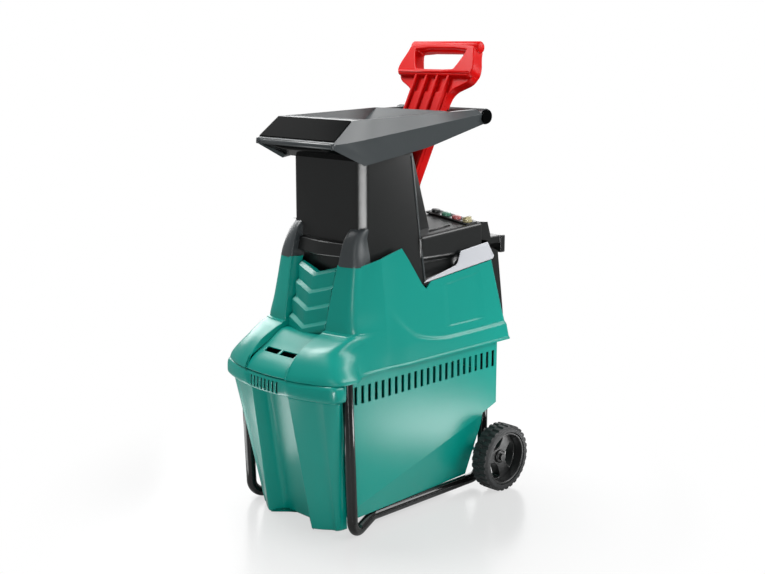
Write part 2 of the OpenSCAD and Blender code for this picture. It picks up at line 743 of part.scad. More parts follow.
// Stem of the pusher, larger by c all round, standing on its foot
module stem(c, l) {
    translate(pusher_foot) rotate([-pusher_lean, 0, 0])
        translate([-stem_half_w - c, -stem_t / 2 - c, 0]) cube([2 * (stem_half_w + c), stem_t + 2 * c, l]);
}
module pusher_holder() {
    w = stem_half_w - 8;
    low = 640;
    top = 690;
    color(black) at_origin() difference() {
        slab_x(-w, w, [[chute_back(top), top], [315, top], [304, low], [chute_back(low), low]]);
        translate(-gap * pusher_dir) stem(gap, 200);
    }
}
module pusher() {
    shoulder = pusher_l - 104;
    block_s = pusher_l - 68;
    frame_t = 34;
    window_w = pusher_half_w - 34;
    rib_w = 5;
    color(red) at_origin() translate(pusher_foot) rotate([-pusher_lean, 0, 0]) union() {
        difference() {
            union() {
                slab_y(-stem_t / 2, stem_t / 2, both([[stem_half_w - 3, 0], [stem_half_w, shoulder]]));
                slab_y(-frame_t / 2, frame_t / 2, both([
                    [stem_half_w, shoulder - 2], [pusher_half_w + 2, block_s - 8], [pusher_half_w + 2, block_s + 22],
                    [pusher_half_w - 4, pusher_l]]));
            }
            slab_y(-frame_t, frame_t, both([[window_w + 8, block_s + 14], [window_w, pusher_l - 10]]));
            each_side() for (x = [9, 36])
                translate([x, -stem_t / 2 - over, 14]) cube([27 - 2 * rib_w, 6, shoulder - 30]);
        }
        along_x(-pusher_half_w, pusher_half_w, 0, pusher_l, pusher_grip_d);
    }
}

// Corner points of the hopper's outer skin, drawn in by inset
module hopper_solid(inset) {
    i = inset;
    hull() for (s = [-1, 1]) {
        for (p = [
            [116, -2, 785], [116, -2, 797], [ridge_half_w, 53, ridge_z], [ridge_half_w, bar_y + 8, ridge_z + 7],
            [keel_half_w - 14, 9, 793], [keel_half_w, 67, 750], [keel_half_w, 110, 797], [keel_half_w - 4, bar_y - 12, 836],
            [keel_half_w, 252, 777], [keel_half_w - 4, bar_y - 14, 816], [keel_half_w - 4, bar_y + 6, 818]])
            translate([s * (p.x - i), p.y + (p.y < 60 ? i : p.y > 400 ? -i : 0), p.z - i]) cube(0.2, center = true);
    }
}
mouth_y = [80, 330];
module funnel(grow) {
    x = chute_half_w - shell - 2 + grow;
    hull() {
        level(ridge_z + 12, [
            [-x - 4, mouth_y[0] - grow], [x + 4, mouth_y[0] - grow], [x + 4, mouth_y[1] + grow], [-x - 4, mouth_y[1] + grow]]);
        level(chute_top_z, [
            [-x, chute_y + 4 - grow], [x, chute_y + 4 - grow], [x, rib_y(chute_top_z) - 4 + grow], [-x, rib_y(chute_top_z) - 4 + grow]]);
    }
}
module hopper() {
    hand_y = [342, bar_y - bar_d / 2 - 3];
    hand_w = 100;
    color(grey) at_origin() difference() {
        union() {
            difference() {
                hopper_solid(0);
                translate([0, 0, -shell]) hopper_solid(shell);
                block([-keel_half_w + 8, 84, 700], [keel_half_w - 8, bar_y - 30, 776]);
            }
            intersection() {
                funnel(shell);
                hopper_solid(0);
                block([-200, 0, chute_top_z], [200, 500, 900]);
            }
        }
        funnel(0);
        block([-hand_w, hand_y[0], 700], [hand_w, hand_y[1], 900]);
        block([-hand_w - 6, bar_y - bar_d / 2 - 4, 700], [hand_w + 6, bar_y + 60, 900]);
        along_x(-200, 200, bar_y, bar_z, bar_d);
        block([-chute_half_w - gap, chute_y - gap, 700], [chute_half_w + gap, chute_back(chute_top_z) + gap, chute_top_z]);
    }
}
module front_plate() {
    t = 2;
    slope = (ridge_z - 797) / 55;
    color(black) at_origin() slab_rake(t, slope);
}
// Trapezium plate lying on the raked front of the hopper
module slab_rake(t, slope) {
    a = atan(slope);
    l = norm([55, ridge_z - 797]);
    translate([0, -2, 797]) rotate([a, 0, 0]) translate([0, 0, 0.2])
        slab_z(0, t, both([[108, 5], [104, l - 3]]));
}
module handle_bar() { color(grey) at_origin() along_x(-keel_half_w + 3, keel_half_w - 3, bar_y, bar_z, bar_d - 2 * run_c); }
module bar_caps() {
    color(black) at_origin() each_side() along_x(keel_half_w - 3, keel_half_w + 2, bar_y, bar_z, bar_d - 4);
}

// Crowned top of the motor lid
module lid_dome(inset, low) {
    w = lid_half_w - inset;
    slab_y(100, 600, both([[w, low], [w, 588 - inset], [w - 6, 606 - inset], [90, 621 - inset], [40, 626 - inset]]));
}
module chute_hole(c) {
    chute_solid(-c);
    slab_x(-chute_back_half_w - c, chute_back_half_w + c, [
        [chute_y, 530], [chute_back(530) + c, 530], [chute_back(700) + c, 700], [chute_y, 700]]);
}
module panel_frame() { translate(panel_at) rotate([lid_slope, 0, 0]) rotate([0, panel_roll, 0]) children(); }
module motor_lid() {
    crown = [[lid_front_y, 608], [lid_front_y, 497], [444, 521.5], [440, 560], [lid_seam_y, 566], [lid_seam_y, 626]];
    core = [
        [lid_front_y - 10, 608 - shell], [lid_front_y - 10, 480], [470, 480], [470, 560 - shell],
        [lid_seam_y - shell, 566 - shell], [lid_seam_y - shell, 626 - shell]];
    color(black) at_origin() difference() {
        intersection() {
            slab_x(-lid_half_w, lid_half_w, crown);
            lid_dome(0, 480);
        }
        intersection() {
            slab_x(-lid_half_w + shell, lid_half_w - shell, core);
            lid_dome(shell, 400);
        }
        chute_hole(gap);
        panel_frame() translate([-panel_w / 2, -panel_l / 2, -1]) cube([panel_w, panel_l, 40]);
        panel_frame() translate([3 - panel_w / 2, 3 - panel_l / 2, -30]) cube([panel_w - 6, panel_l - 6, 40]);
    }
}
module side_band() {
    t = 2.5;
    color("#d7d7dc") at_origin() slab_x(lid_half_w, lid_half_w + t, concat(
        [[222, 497], [234, 503]], rounded([[234, 503], [326, 523], [336, 551], [424, 561]], [0, 14, 0, 0], 5),
        [[446, 528], [443, 521.5]]));
}
module side_band_right() { side_band(); }
module side_band_left() { left() side_band(); }

rear_back = [[434, 603], [444, 574], [448, 546], [478, 533], [492, 442], [507, chassis_top_z]];
module rear_cover() {
    w = lid_half_w - 8;
    front = [[500, chassis_top_z], [448.5, 520], [444.8, 522], [440.6, 560.6], [lid_seam_y + gap, 566.6], [lid_seam_y + gap, 606]];
    core = [[497, 350], [488, 442], [474, 530], [444, 542], [440, 573], [432, 599], [lid_seam_y - 5, 602],
        [lid_seam_y - 5, 560], [440, 524], [446, 516]];
    color(black) at_origin() difference() {
        intersection() {
            slab_x(-w, w, concat(front, rear_back));
            union() {
                slab_x(-w, w, [[400, 560], [520, 560], [520, 700], [400, 700]]);
                slab_x(6 - w, w - 6, [[400, 300], [520, 300], [520, 561], [400, 561]]);
            }
        }
        slab_x(shell - w + 6, w - 6 - shell, core);
        inlet_hole();
        cover_screw_places() along_y(-20, 4, [0, 0], screw_shank_d + 2 * run_c);
    }
}
screw_shank_d = 5;
// Places of the rear cover's screws, on its sloping back
module cover_screw_places() {
    each_side() for (h = [380, 500]) {
        y = lerp(507, 492, (h - chassis_top_z) / (442 - chassis_top_z));
        translate([112, y, h]) children();
    }
}
inlet_at = [-60, 480];
module inlet_hole() { along_y(440, 520, inlet_at, 44); }
module mains_inlet() {
    color(black) at_origin() difference() {
        union() {
            along_y(470, 492, inlet_at, 44 - 2 * run_c);
            along_y(490.6, 497, inlet_at, 52);
        }
        along_y(474, 505, inlet_at, 34);
    }
}
module cord_hooks() {
    color(black) at_origin() each_side() union() {
        block([96, 447.7, 550], [126, 490, 566]);
        block([92, 488, 527], [130, 503, 566]);
    }
}

module control_panel() {
    color("#2c2f30") at_origin() panel_frame() difference() {
        translate([gap - panel_w / 2, gap - panel_l / 2, -1]) cube([panel_w - 2 * gap, panel_l - 2 * gap, panel_t]);
        for (i = [0 : 2]) translate([controls[i], 0, -10]) cylinder(h = 30, d = button_d + 2 * gap);
        translate([controls[3], 0, -10]) cylinder(h = 30, d = 12 + 2 * run_c);
    }
}
module push_button(at, tint) {
    color(tint) at_origin() panel_frame() translate([at, 0, -8]) cylinder(h = 8 + panel_t + button_travel + 1, d = button_d);
}
module overload_button() { push_button(controls[0], "#2a2d2e"); }
module start_button() { push_button(controls[1], "#0d7a4f"); }
module stop_button() { push_button(controls[2], "#c0262b"); }
module direction_selector() {
    color("#d8c873") at_origin() panel_frame() translate([controls[3], 0, 0]) union() {
        translate([0, 0, -8]) cylinder(h = 12, d = 12);
        translate([0, 0, panel_t - 1 + gap]) cylinder(h = 5, d = button_d + 2);
        translate([-3, -button_d / 2, panel_t + 3]) cube([6, button_d, 6]);
    }
}
module switch_box() {
    deep = 36;
    color("#303334") at_origin() panel_frame() difference() {
        translate([panel_edge - panel_w / 2, panel_edge - panel_l / 2, -1 - deep])
            cube([panel_w - 2 * panel_edge, panel_l - 2 * panel_edge, deep]);
        for (x = controls) translate([x, 0, -14]) cylinder(h = 30, d = button_d + 3);
    }
}

// Cutting unit
module cutter_frame() {
    x0 = plate_x - 26;
    x1 = drum_x + drum_d / 2 + 14;
    top = chute_low_z;
    flange = 6;
    color(steel) at_origin() difference() {
        union() {
            block([x0, frame_y, chassis_top_z], [x1, frame_back_y, top]);
            block([-chute_half_w, frame_y, top - flange], [chute_half_w, frame_back_y, top]);
        }
        block([x0 + 8, frame_y + frame_wall, chassis_top_z - over], [x1 - 8, frame_back_y - frame_wall, top + over]);
        along_y(frame_y - over, frame_back_y + over, drum_axis, drum_shaft_d + 2 * bearing_t);
        along_x(x0 - over, x0 + 20, screw_y, drum_z, screw_d + 2 * run_c);
    }
}
module drum_bearings() {
    color(steel) at_origin() for (y = [frame_y, frame_back_y - bearing_w]) difference() {
        along_y(y, y + bearing_w, drum_axis, drum_shaft_d + 2 * bearing_t);
        along_y(y - over, y + bearing_w + over, drum_axis, drum_shaft_d + 2 * run_c);
    }
}
module drum_shaft() {
    color(steel) at_origin() along_y(frame_y - 6, drum_gear_y + drum_gear_w + 3, drum_axis, drum_shaft_d);
}
// Drum section with raked teeth, drawn in X and Z
function drum_points(r) = [
    for (i = [0 : drum_teeth - 1]) let (a = 360 / drum_teeth)
        for (k = [[0, -7], [0.05, 0], [0.25, 0], [0.55, -7]])
            (r + k[1]) * [cos(a * (i + k[0])), sin(a * (i + k[0]))]];
module cutting_drum() {
    color("#8a8d90") at_origin() difference() {
        translate([drum_x, drum_y + drum_l, drum_z]) rotate([90, 0, 0]) linear_extrude(drum_l) polygon(drum_points(drum_d / 2));
        along_y(drum_y - over, drum_y + drum_l + over, drum_axis, drum_shaft_d);
    }
}
module counter_plate() {
    color("#a9adb0") at_origin() difference() {
        block([plate_x, plate_y, drum_z - plate_h / 2], [plate_x + plate_t, plate_y + plate_l, drum_z + plate_h / 2]);
        along_x(plate_x - over, plate_x + plate_t - 3, screw_y, drum_z, screw_d + 2 * run_c);
    }
}
module adjusting_screw() { color(steel) at_origin() along_x(knob_x - 8, plate_x + 3, screw_y, drum_z, screw_d); }
module adjusting_knob() {
    lobes = 8;
    color(black) at_origin() translate([knob_x - knob_l, screw_y, drum_z]) rotate([90, 0, 90]) difference() {
        linear_extrude(knob_l) difference() {
            circle(d = knob_d);
            for (i = [0 : lobes - 1]) rotate(360 / lobes * i) translate([knob_d / 2 + 4, 0]) circle(d = 14);
        }
        translate([0, 0, knob_l - 8]) cylinder(h = 20, d = screw_d);
    }
}

// Involute gear outline with a tooth centred on the first axis
function involute(rb, r) = let (t = sqrt(max(0, (r / rb) ^ 2 - 1))) t * 180 / PI - atan(t);
function tooth_half(teeth, m, slack, r) =
    let (rp = teeth * m / 2, rb = rp * cos(20))
    90 / teeth - slack / rp * 180 / PI + involute(rb, rp) - involute(rb, max(r, rb));
function gear_points(teeth, m, slack) =
    let (rp = teeth * m / 2, tip = rp + 0.8 * m, root = rp - 1.05 * m, rb = rp * cos(20), a = 360 / teeth)
    let (rs = [root, max(root + 0.1, lerp(rb, tip, 0.05)), lerp(rb, tip, 0.5), tip])
    [for (i = [0 : teeth - 1]) each concat(
        [for (r = rs) r * [cos(a * i - tooth_half(teeth, m, slack, r)), sin(a * i - tooth_half(teeth, m, slack, r))]],
        [for (k = [3 : -1 : 0]) let (r = rs[k])
            r * [cos(a * i + tooth_half(teeth, m, slack, r)), sin(a * i + tooth_half(teeth, m, slack, r))]])];
module gear(teeth, m, y, w, at, turn, bore) {
    slack = 0.12 * m;
    color("#9a9da0") at_origin() difference() {
        translate([at.x, y + w, at.y]) rotate([90, 0, 0]) rotate(turn) linear_extrude(w) polygon(gear_points(teeth, m, slack));
        along_y(y - over, y + w + over, at, bore);
    }
}
module drum_gear() { gear(wheel_teeth, drum_module, drum_gear_y, drum_gear_w, drum_axis, lay_angle, drum_shaft_d); }
module layshaft_pinion() {
    gear(pinion_teeth, drum_module, drum_gear_y, drum_gear_w, lay_axis, lay_angle + 180 + 180 / pinion_teeth, lay_shaft_d);
}
module layshaft_wheel() {
    gear(wheel_teeth, motor_module, motor_gear_y, motor_gear_w, lay_axis, lay_to_motor, lay_shaft_d);
}
module motor_pinion() {
    gear(pinion_teeth, motor_module, motor_gear_y, motor_gear_w, motor_axis, lay_to_motor + 180 + 180 / pinion_teeth, 8);
}
module layshaft() {
    color(steel) at_origin() along_y(gear_case_y + 1, gear_case_y + gear_case_l - 1, lay_axis, lay_shaft_d);
}
module gearbox_case() {
    x0 = lay_axis.x - wheel_teeth * motor_module / 2 - 10;
    x1 = drum_x + wheel_teeth * drum_module / 2 + 10;
    z0 = drum_z - wheel_teeth * drum_module / 2 - 8;
    z1 = 498;
    y0 = gear_case_y;
    y1 = gear_case_y + gear_case_l;
    color("#8f9396") at_origin() difference() {
        block([x0, y0, z0], [x1, y1, z1]);
        block([x0 + gear_wall, y0 + gear_wall, z0 + gear_wall], [x1 - gear_wall, y1 - gear_wall, z1 - 2]);
        along_y(y0 - over, y0 + gear_wall + over, drum_axis, drum_shaft_d + 2 * run_c);
        for (y = [y0, y1 - gear_wall]) along_y(y - over, y + gear_wall + over, lay_axis, lay_shaft_d + 2 * run_c);
        along_y(y1 - gear_wall - over, y1 + over, motor_axis, motor_shaft_d + 2 * run_c);
    }
}
module motor_case() {
    wall = 4;
    color("#7d8184") at_origin() difference() {
        along_y(motor_y, motor_y + motor_l, motor_axis, motor_d);
        along_y(motor_y + 8, motor_y + motor_l - 8, motor_axis, motor_d - 2 * wall);
        along_y(motor_y - over, motor_y + motor_l + over, motor_axis, motor_shaft_d + 2 * run_c);
    }
}
module motor_stator() {
    color("#6b6e70") at_origin() difference() {
        along_y(motor_y + 18, motor_y + motor_l - 28, motor_axis, motor_d - 8);
        along_y(motor_y, motor_y + motor_l, motor_axis, 64);
    }
}
module motor_rotor() {
    color("#95989b") at_origin() union() {
        along_y(motor_y + 20, motor_y + motor_l - 30, motor_axis, 63);
        along_y(motor_y - 2, motor_y + motor_l + 22, motor_axis, motor_shaft_d);
        along_y(motor_gear_y, motor_y, motor_axis, 8);
    }
}
module motor_fan() {
    blades = 9;
    y = motor_y + motor_l + 4;
    color("#303334") at_origin() difference() {
        union() {
            along_y(y, y + 3, motor_axis, 96);
            along_y(y, y + 16, motor_axis, 26);
            for (i = [0 : blades - 1]) translate([motor_axis.x, y, motor_axis.y]) rotate([0, 360 / blades * i, 0])
                translate([10, 1, -1]) cube([36, 12, 2]);
        }
        along_y(y - over, y + 20, motor_axis, motor_shaft_d);
    }
}
module capacitor() { color("#c9ccce") at_origin() along_y(motor_y + 10, motor_y + 90, [motor_axis.x - 96, chassis_top_z + 20.2], 40); }
module safety_switch() {
    color("#303334") at_origin() block([-20, 36, chassis_top_z], [20, 66, chassis_top_z + 16]);
}
module cover_screws() {
    color(steel) at_origin() cover_screw_places() {
        along_y(-14, 3.5, [0, 0], screw_shank_d);
        along_y(0.8, 3.5, [0, 0], screw_shank_d + 4);
    }
}

front_leg_right();
front_leg_left();
lower_rail_right();
lower_rail_left();
rear_leg_right();
rear_leg_left();
axle();
axle_caps();
wheel_right();
wheel_left();
tyre_right();
tyre_left();
collection_box();
chassis();
housing();
lock_slide();
chute_front();
chute_rear();
pusher_holder();
hopper();
front_plate();
handle_bar();
bar_caps();
pusher();
motor_lid();
side_band_right();
side_band_left();
rear_cover();
cord_hooks();
mains_inlet();
control_panel();
start_button();
stop_button();
direction_selector();
overload_button();
switch_box();
cutter_frame();
drum_bearings();
drum_shaft();
cutting_drum();
counter_plate();
adjusting_screw();
adjusting_knob();
gearbox_case();
drum_gear();
layshaft();
layshaft_pinion();
layshaft_wheel();
motor_case();
motor_stator();
motor_rotor();
motor_pinion();
motor_fan();
capacitor();
safety_switch();
cover_screws();
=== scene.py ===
# %% [markdown]
# # A garden shredder, dressed for a product picture
# The imported CAD model is the frame: every piece below sits where the frame says, in metres, and
# moves with one of its bodies. We first load the frame.

# %% Load the frame
import json
import math
import bmesh
import bpy
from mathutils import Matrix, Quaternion, Vector


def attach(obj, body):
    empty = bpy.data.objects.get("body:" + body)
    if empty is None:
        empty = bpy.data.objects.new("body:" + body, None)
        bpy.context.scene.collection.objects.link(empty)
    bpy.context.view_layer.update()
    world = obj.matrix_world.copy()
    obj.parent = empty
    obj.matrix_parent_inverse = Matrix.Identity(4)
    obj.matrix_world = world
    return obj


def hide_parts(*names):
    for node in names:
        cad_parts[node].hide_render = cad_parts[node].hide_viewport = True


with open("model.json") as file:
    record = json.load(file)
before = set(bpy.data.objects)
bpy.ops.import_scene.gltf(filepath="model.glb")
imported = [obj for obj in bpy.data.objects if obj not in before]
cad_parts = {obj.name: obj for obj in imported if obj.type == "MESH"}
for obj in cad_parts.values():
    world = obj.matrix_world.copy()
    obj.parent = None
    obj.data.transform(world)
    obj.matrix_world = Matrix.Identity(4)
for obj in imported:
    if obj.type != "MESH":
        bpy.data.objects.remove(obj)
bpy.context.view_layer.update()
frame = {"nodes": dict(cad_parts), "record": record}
nodes = frame["nodes"]
record = frame["record"]
body_of_node = {n: b for b, members in record["behaviour"]["bodies"].items() for n in members}
# On the bench Y starts near the front legs; the frame's origin lies this many millimetres behind.
MID_Y = 206.5
SIDES = [(1, "right"), (-1, "left")]


def at(x, y, z):
    """A point measured on the bench in millimetres, in the frame's metres."""
    return Vector((x / 1000, (y - MID_Y) / 1000, z / 1000))


# %% [markdown]
# ## Camera, floor and light
# The picture was taken from the machine's front right corner, at about the height of its top, with
# a short telephoto lens. A plain white floor and a white world stand for the seamless paper of a
# studio; reflections see only a fifth of that white, so that dark plastic stays dark. Most lamps
# are placed where a face of the machine mirrors them towards the camera, because gloss is what
# shows the form of plastic: a large one overhead, others at the left, the right and the rear, a
# low strip for the chute's corner and cards on the floor. A weak key lamp fills the front.

# %% Camera
CAMERA_TILT, CAMERA_TURN = 11.55, 45.474
scene = bpy.context.scene
scene.view_settings.view_transform = "Standard"
camera = bpy.data.objects.new("camera", bpy.data.cameras.new("camera"))
scene.collection.objects.link(camera)
camera.location = at(1834.2, -1559.7, 990)
camera.rotation_euler = (math.radians(90 - CAMERA_TILT), 0, math.radians(CAMERA_TURN))
camera.data.lens = 56.478
camera.data.sensor_width = 36
scene.camera = camera
print("camera at", [round(v, 3) for v in camera.location])


# %% Node helper and colours
def linear(hex_code):
    """sRGB hex, such as #00958A, to the linear RGBA that shaders expect."""
    parts = [int(hex_code[i:i + 2], 16) / 255 for i in (1, 3, 5)]
    return (*[c / 12.92 if c <= 0.04045 else ((c + 0.055) / 1.055) ** 2.4 for c in parts], 1.0)


def add(tree, kind, settings=None, links=None):
    """Adds a node, or takes one that is there; settings name attributes or sockets, links name sockets."""
    node = tree.nodes.new(kind) if isinstance(kind, str) else kind
    for key, value in (settings or {}).items():
        if isinstance(key, str) and hasattr(node, key):
            setattr(node, key, value)
        else:
            node.inputs[key].default_value = value
    for key, source in (links or {}).items():
        tree.links.new(source, node.inputs[key])
    return node


def new_material(name):
    material = bpy.data.materials.new(name)
    material.use_nodes = True
    tree = material.node_tree
    return material, tree, tree.nodes["Principled BSDF"]


# %% Floor and world
GLOSSY_SHARE = 0.2
AMBIENT = 0.14


def backdrop_rays(tree):
    """1 where the camera or glass looks at the backdrop, GLOSSY_SHARE where a reflection does."""
    path = add(tree, "ShaderNodeLightPath")
    mirrored = add(tree, "ShaderNodeMath", {"operation": "MULTIPLY", 1: GLOSSY_SHARE},
                   {0: path.outputs["Is Glossy Ray"]})
    seen = add(tree, "ShaderNodeMath", {"operation": "MAXIMUM"},
               {0: path.outputs["Is Camera Ray"], 1: path.outputs["Is Transmission Ray"]})
    either = add(tree, "ShaderNodeMath", {"operation": "MAXIMUM"},
                 {0: seen.outputs[0], 1: mirrored.outputs[0]})
    return either.outputs[0]


def paper_white(name):
    """A table top that keeps the machine's shadow and fades to white paper; distances in metres."""
    material, tree, shader = new_material(name)
    coords = add(tree, "ShaderNodeTexCoord")
    reach = add(tree, "ShaderNodeVectorMath", {"operation": "LENGTH"}, {0: coords.outputs["Object"]})
    fade = {"interpolation_type": "SMOOTHSTEP", "From Min": 0.30, "From Max": 0.78, "To Min": 0.62}
    far = add(tree, "ShaderNodeMapRange", fade, {"Value": reach.outputs["Value"]})
    edge = {"From Min": 0.66, "From Max": 1.0, "To Min": 0.42, "To Max": 0.03}
    table = add(tree, "ShaderNodeMapRange", edge, {"Value": reach.outputs["Value"]})
    add(tree, shader, {"Roughness": 0.22, "Specular IOR Level": 0.6}, {"Base Color": table.outputs[0]})
    share = add(tree, "ShaderNodeMath", {"operation": "MULTIPLY"},
                {0: far.outputs[0], 1: backdrop_rays(tree)})
    glow = add(tree, "ShaderNodeEmission", {"Strength": 1.0})
    mixed = add(tree, "ShaderNodeMixShader", {},
                {0: share.outputs[0], 1: shader.outputs[0], 2: glow.outputs[0]})
    add(tree, tree.nodes["Material Output"], {}, {"Surface": mixed.outputs[0]})
    return material


FLOOR_HALF = 30
floor_corners = [(x * FLOOR_HALF, y * FLOOR_HALF, 0) for x, y in [(-1, -1), (1, -1), (1, 1), (-1, 1)]]
floor_mesh = bpy.data.meshes.new("floor")
floor_mesh.from_pydata(floor_corners, [], [(0, 1, 2, 3)])
floor = bpy.data.objects.new("floor", floor_mesh)
floor.data.materials.append(paper_white("studio_paper"))
scene.collection.objects.link(floor)

world = bpy.data.worlds.new("studio")
world.use_nodes = True
scene.world = world
tree = world.node_tree
level = add(tree, "ShaderNodeMapRange", {"To Min": AMBIENT, "To Max": 1.0},
            {"Value": backdrop_rays(tree)})
add(tree, tree.nodes["Background"], {"Color": (1, 1, 1, 1)}, {"Strength": level.outputs[0]})
print("floor and world:", floor.name, world.name)


# %% Lamps
def soft_box(name, place, target, size, power, turn=0):
    """Area lamp, sized in metres and powered in watts, aimed at a target; turn swings its long side."""
    lamp = bpy.data.objects.new(name, bpy.data.lights.new(name, "AREA"))
    lamp.data.shape = "RECTANGLE"
    lamp.data.size, lamp.data.size_y = size
    lamp.data.energy = power
    lamp.location = place
    aim = (Vector(target) - Vector(place)).to_track_quat("-Z", "Y")
    lamp.rotation_euler = (aim @ Quaternion((0, 0, 1), math.radians(turn))).to_euler()
    lamp.visible_camera = False
    scene.collection.objects.link(lamp)


soft_box("overhead", (-0.85, -0.45, 2.4), (0.0, -0.1, 0.4), (1.0, 1.0), 52)
soft_box("key", (1.5, -2.3, 2.1), (0, 0, 0.4), (0.9, 0.9), 6)
soft_box("left", (-1.6, 0.25, 0.95), (-0.1, -0.2, 0.4), (0.8, 0.6), 9)
soft_box("left_rear", (-1.75, 0.42, 1.95), (0, 0, 0.6), (1.2, 0.9), 9)
soft_box("right", (2.7, 0.5, 2.3), (0.1, 0.1, 0.5), (0.9, 1.0), 24)
soft_box("right_rear", (1.69, 1.47, 1.72), (0.1, 0, 0.8), (1.7, 1.4), 46)
soft_box("rear_top", (0.6, 1.7, 2.5), (0, 0.1, 0.8), (0.9, 0.7), 9)
soft_box("back_wall", (-1.9, 2.1, 1.1), (0, 0, 0.6), (2.4, 1.2), 28)
soft_box("corner_strip", (1.78, -1.74, 0.30), (0, 0, 0.5), (0.32, 0.55), 24)
soft_box("floor_card_right", (0.52, 0.44, 0.01), (0.52, 0.44, 1.0), (0.34, 0.28), 2.8, 46)
soft_box("floor_card_front", (-0.40, -0.52, 0.01), (-0.40, -0.52, 1.0), (0.42, 0.42), 2.4)
soft_box("floor_strip", (1.15, -1.20, 0.01), (1.15, -1.20, 1.0), (1.8, 0.16), 4, -46)

# %% [markdown]
# ## Finishes
# The machine is mostly injection-moulded ABS and polypropylene. A mould's eroded steel leaves a
# fine grain on the plastic, which breaks up reflections, and larger pieces show a very faint
# drift of colour. The grain is about half a millimetre on real mouldings; it is drawn two or
# three times as coarse so that it still shows at this distance.

# %% Moulded plastic
def moulded_plastic(name, colour, lighter, roughness, grain_mm, grain_depth, specular=0.5):
    """ABS or polypropylene from an eroded mould: slight colour drift, fine grain, even sheen."""
    material, tree, shader = new_material(name)
    coords = add(tree, "ShaderNodeTexCoord")
    here = {"Vector": coords.outputs["Object"]}
    drift = add(tree, "ShaderNodeTexNoise", {"Scale": 5.0, "Detail": 3.0}, here)
    tint = add(tree, "ShaderNodeMix", {"data_type": "RGBA", 6: linear(colour), 7: linear(lighter)},
               {0: drift.outputs["Fac"]})
    grain = add(tree, "ShaderNodeTexNoise", {"Scale": 1000 / grain_mm, "Detail": 2.0}, here)
    sheen = add(tree, "ShaderNodeMapRange", {"To Min": roughness - 0.04, "To Max": roughness + 0.05},
                {"Value": grain.outputs["Fac"]})
    bump = add(tree, "ShaderNodeBump", {"Strength": grain_depth, "Distance": 0.0004},
               {"Height": grain.outputs["Fac"]})
    add(tree, shader, {"Specular IOR Level": specular, "IOR": 1.53},
        {"Base Color": tint.outputs[2], "Roughness": sheen.outputs[0], "Normal": bump.outputs[0]})
    return material


green_abs = moulded_plastic("green_abs_moulded", "#008074", "#008A7D", 0.29, 1.2, 0.10, 0.42)
black_pp = moulded_plastic("black_polypropylene_moulded", "#0D0F0F", "#141616", 0.30, 1.2, 0.16)
grey_pp = moulded_plastic("grey_polypropylene_moulded", "#303537", "#383D3F", 0.34, 1.2, 0.14)
red_abs = moulded_plastic("red_abs_moulded", "#BC0A09", "#C60D0B", 0.30, 1.4, 0.06, 0.12)
silver_paint = moulded_plastic("silver_painted_abs", "#B2B4B9", "#BBBDC2", 0.30, 1.0, 0.05)
tyre_pvc = moulded_plastic("black_pvc_tyre", "#191A1B", "#232526", 0.62, 1.6, 0.25)
wheel_pp = moulded_plastic("black_polypropylene_wheel", "#0F1011", "#151717", 0.38, 1.4, 0.12)
plate_black = moulded_plastic("matt_black_plate", "#040505", "#070808", 0.14, 1.0, 0.03, 0.01)
button_green = moulded_plastic("green_button_abs", "#3F7A63", "#47836B", 0.25, 1.0, 0.04)
button_red = moulded_plastic("red_button_abs", "#A8595A", "#B06364", 0.25, 1.0, 0.04)
selector_yellow = moulded_plastic("yellow_selector_abs", "#A79F78", "#B0A882", 0.28, 1.0, 0.04)
print("plastics:", len(bpy.data.materials))

# %% [markdown]
# ## Metals
# The stand is steel tube in a glossy black coat, which reflects in hard, thin lines. The coat's
# slight orange peel is a few millimetres wide. Inside the machine are turned, ground and cast
# metals, whose tool lines are one noise texture stretched along the work.


# %% Coated and bare metals
def coated_tube(name):
    """Steel tube in gloss black powder coat: dark, hard reflections with a slight orange peel."""
    material, tree, shader = new_material(name)
    coords = add(tree, "ShaderNodeTexCoord")
    peel = add(tree, "ShaderNodeTexNoise", {"Scale": 260.0, "Detail": 1.0},
               {"Vector": coords.outputs["Object"]})
    bump = add(tree, "ShaderNodeBump", {"Strength": 0.08, "Distance": 0.0004},
               {"Height": peel.outputs["Fac"]})
    shade = add(tree, "ShaderNodeMapRange", {"To Min": 0.10, "To Max": 0.15},
                {"Value": peel.outputs["Fac"]})
    add(tree, shader, {"Base Color": linear("#0B0C0C"), "Specular IOR Level": 0.4,
                       "Coat Weight": 0.15, "Coat Roughness": 0.08},
        {"Normal": bump.outputs[0], "Roughness": shade.outputs[0]})
    return material


def machined_metal(name, colour, roughness, line_mm):
    """Turned or ground metal: fine tool lines across the work."""
    material, tree, shader = new_material(name)
    coords = add(tree, "ShaderNodeTexCoord")
    stretch = add(tree, "ShaderNodeMapping", {"Scale": (1.0, 0.05, 1.0)},
                  {"Vector": coords.outputs["Object"]})
    lines = add(tree, "ShaderNodeTexNoise", {"Scale": 1000 / line_mm, "Detail": 2.0},
                {"Vector": stretch.outputs[0]})
    shade = add(tree, "ShaderNodeMapRange", {"To Min": roughness - 0.07, "To Max": roughness + 0.09},
                {"Value": lines.outputs["Fac"]})
    bump = add(tree, "ShaderNodeBump", {"Strength": 0.12, "Distance": 0.0003},
               {"Height": lines.outputs["Fac"]})
    add(tree, shader, {"Base Color": linear(colour), "Metallic": 1.0},
        {"Roughness": shade.outputs[0], "Normal": bump.outputs[0]})
    return material


powder_coat = coated_tube("gloss_black_powder_coat")
zinc_steel = machined_metal("zinc_plated_steel", "#B6BABF", 0.28, 0.8)
tool_steel = machined_metal("ground_tool_steel", "#8D9094", 0.30, 0.6)
cast_alloy = machined_metal("cast_aluminium", "#9EA2A5", 0.48, 2.5)
iron = machined_metal("laminated_iron", "#6A6D70", 0.46, 0.7)
print("finishes:", [m.name for m in bpy.data.materials])

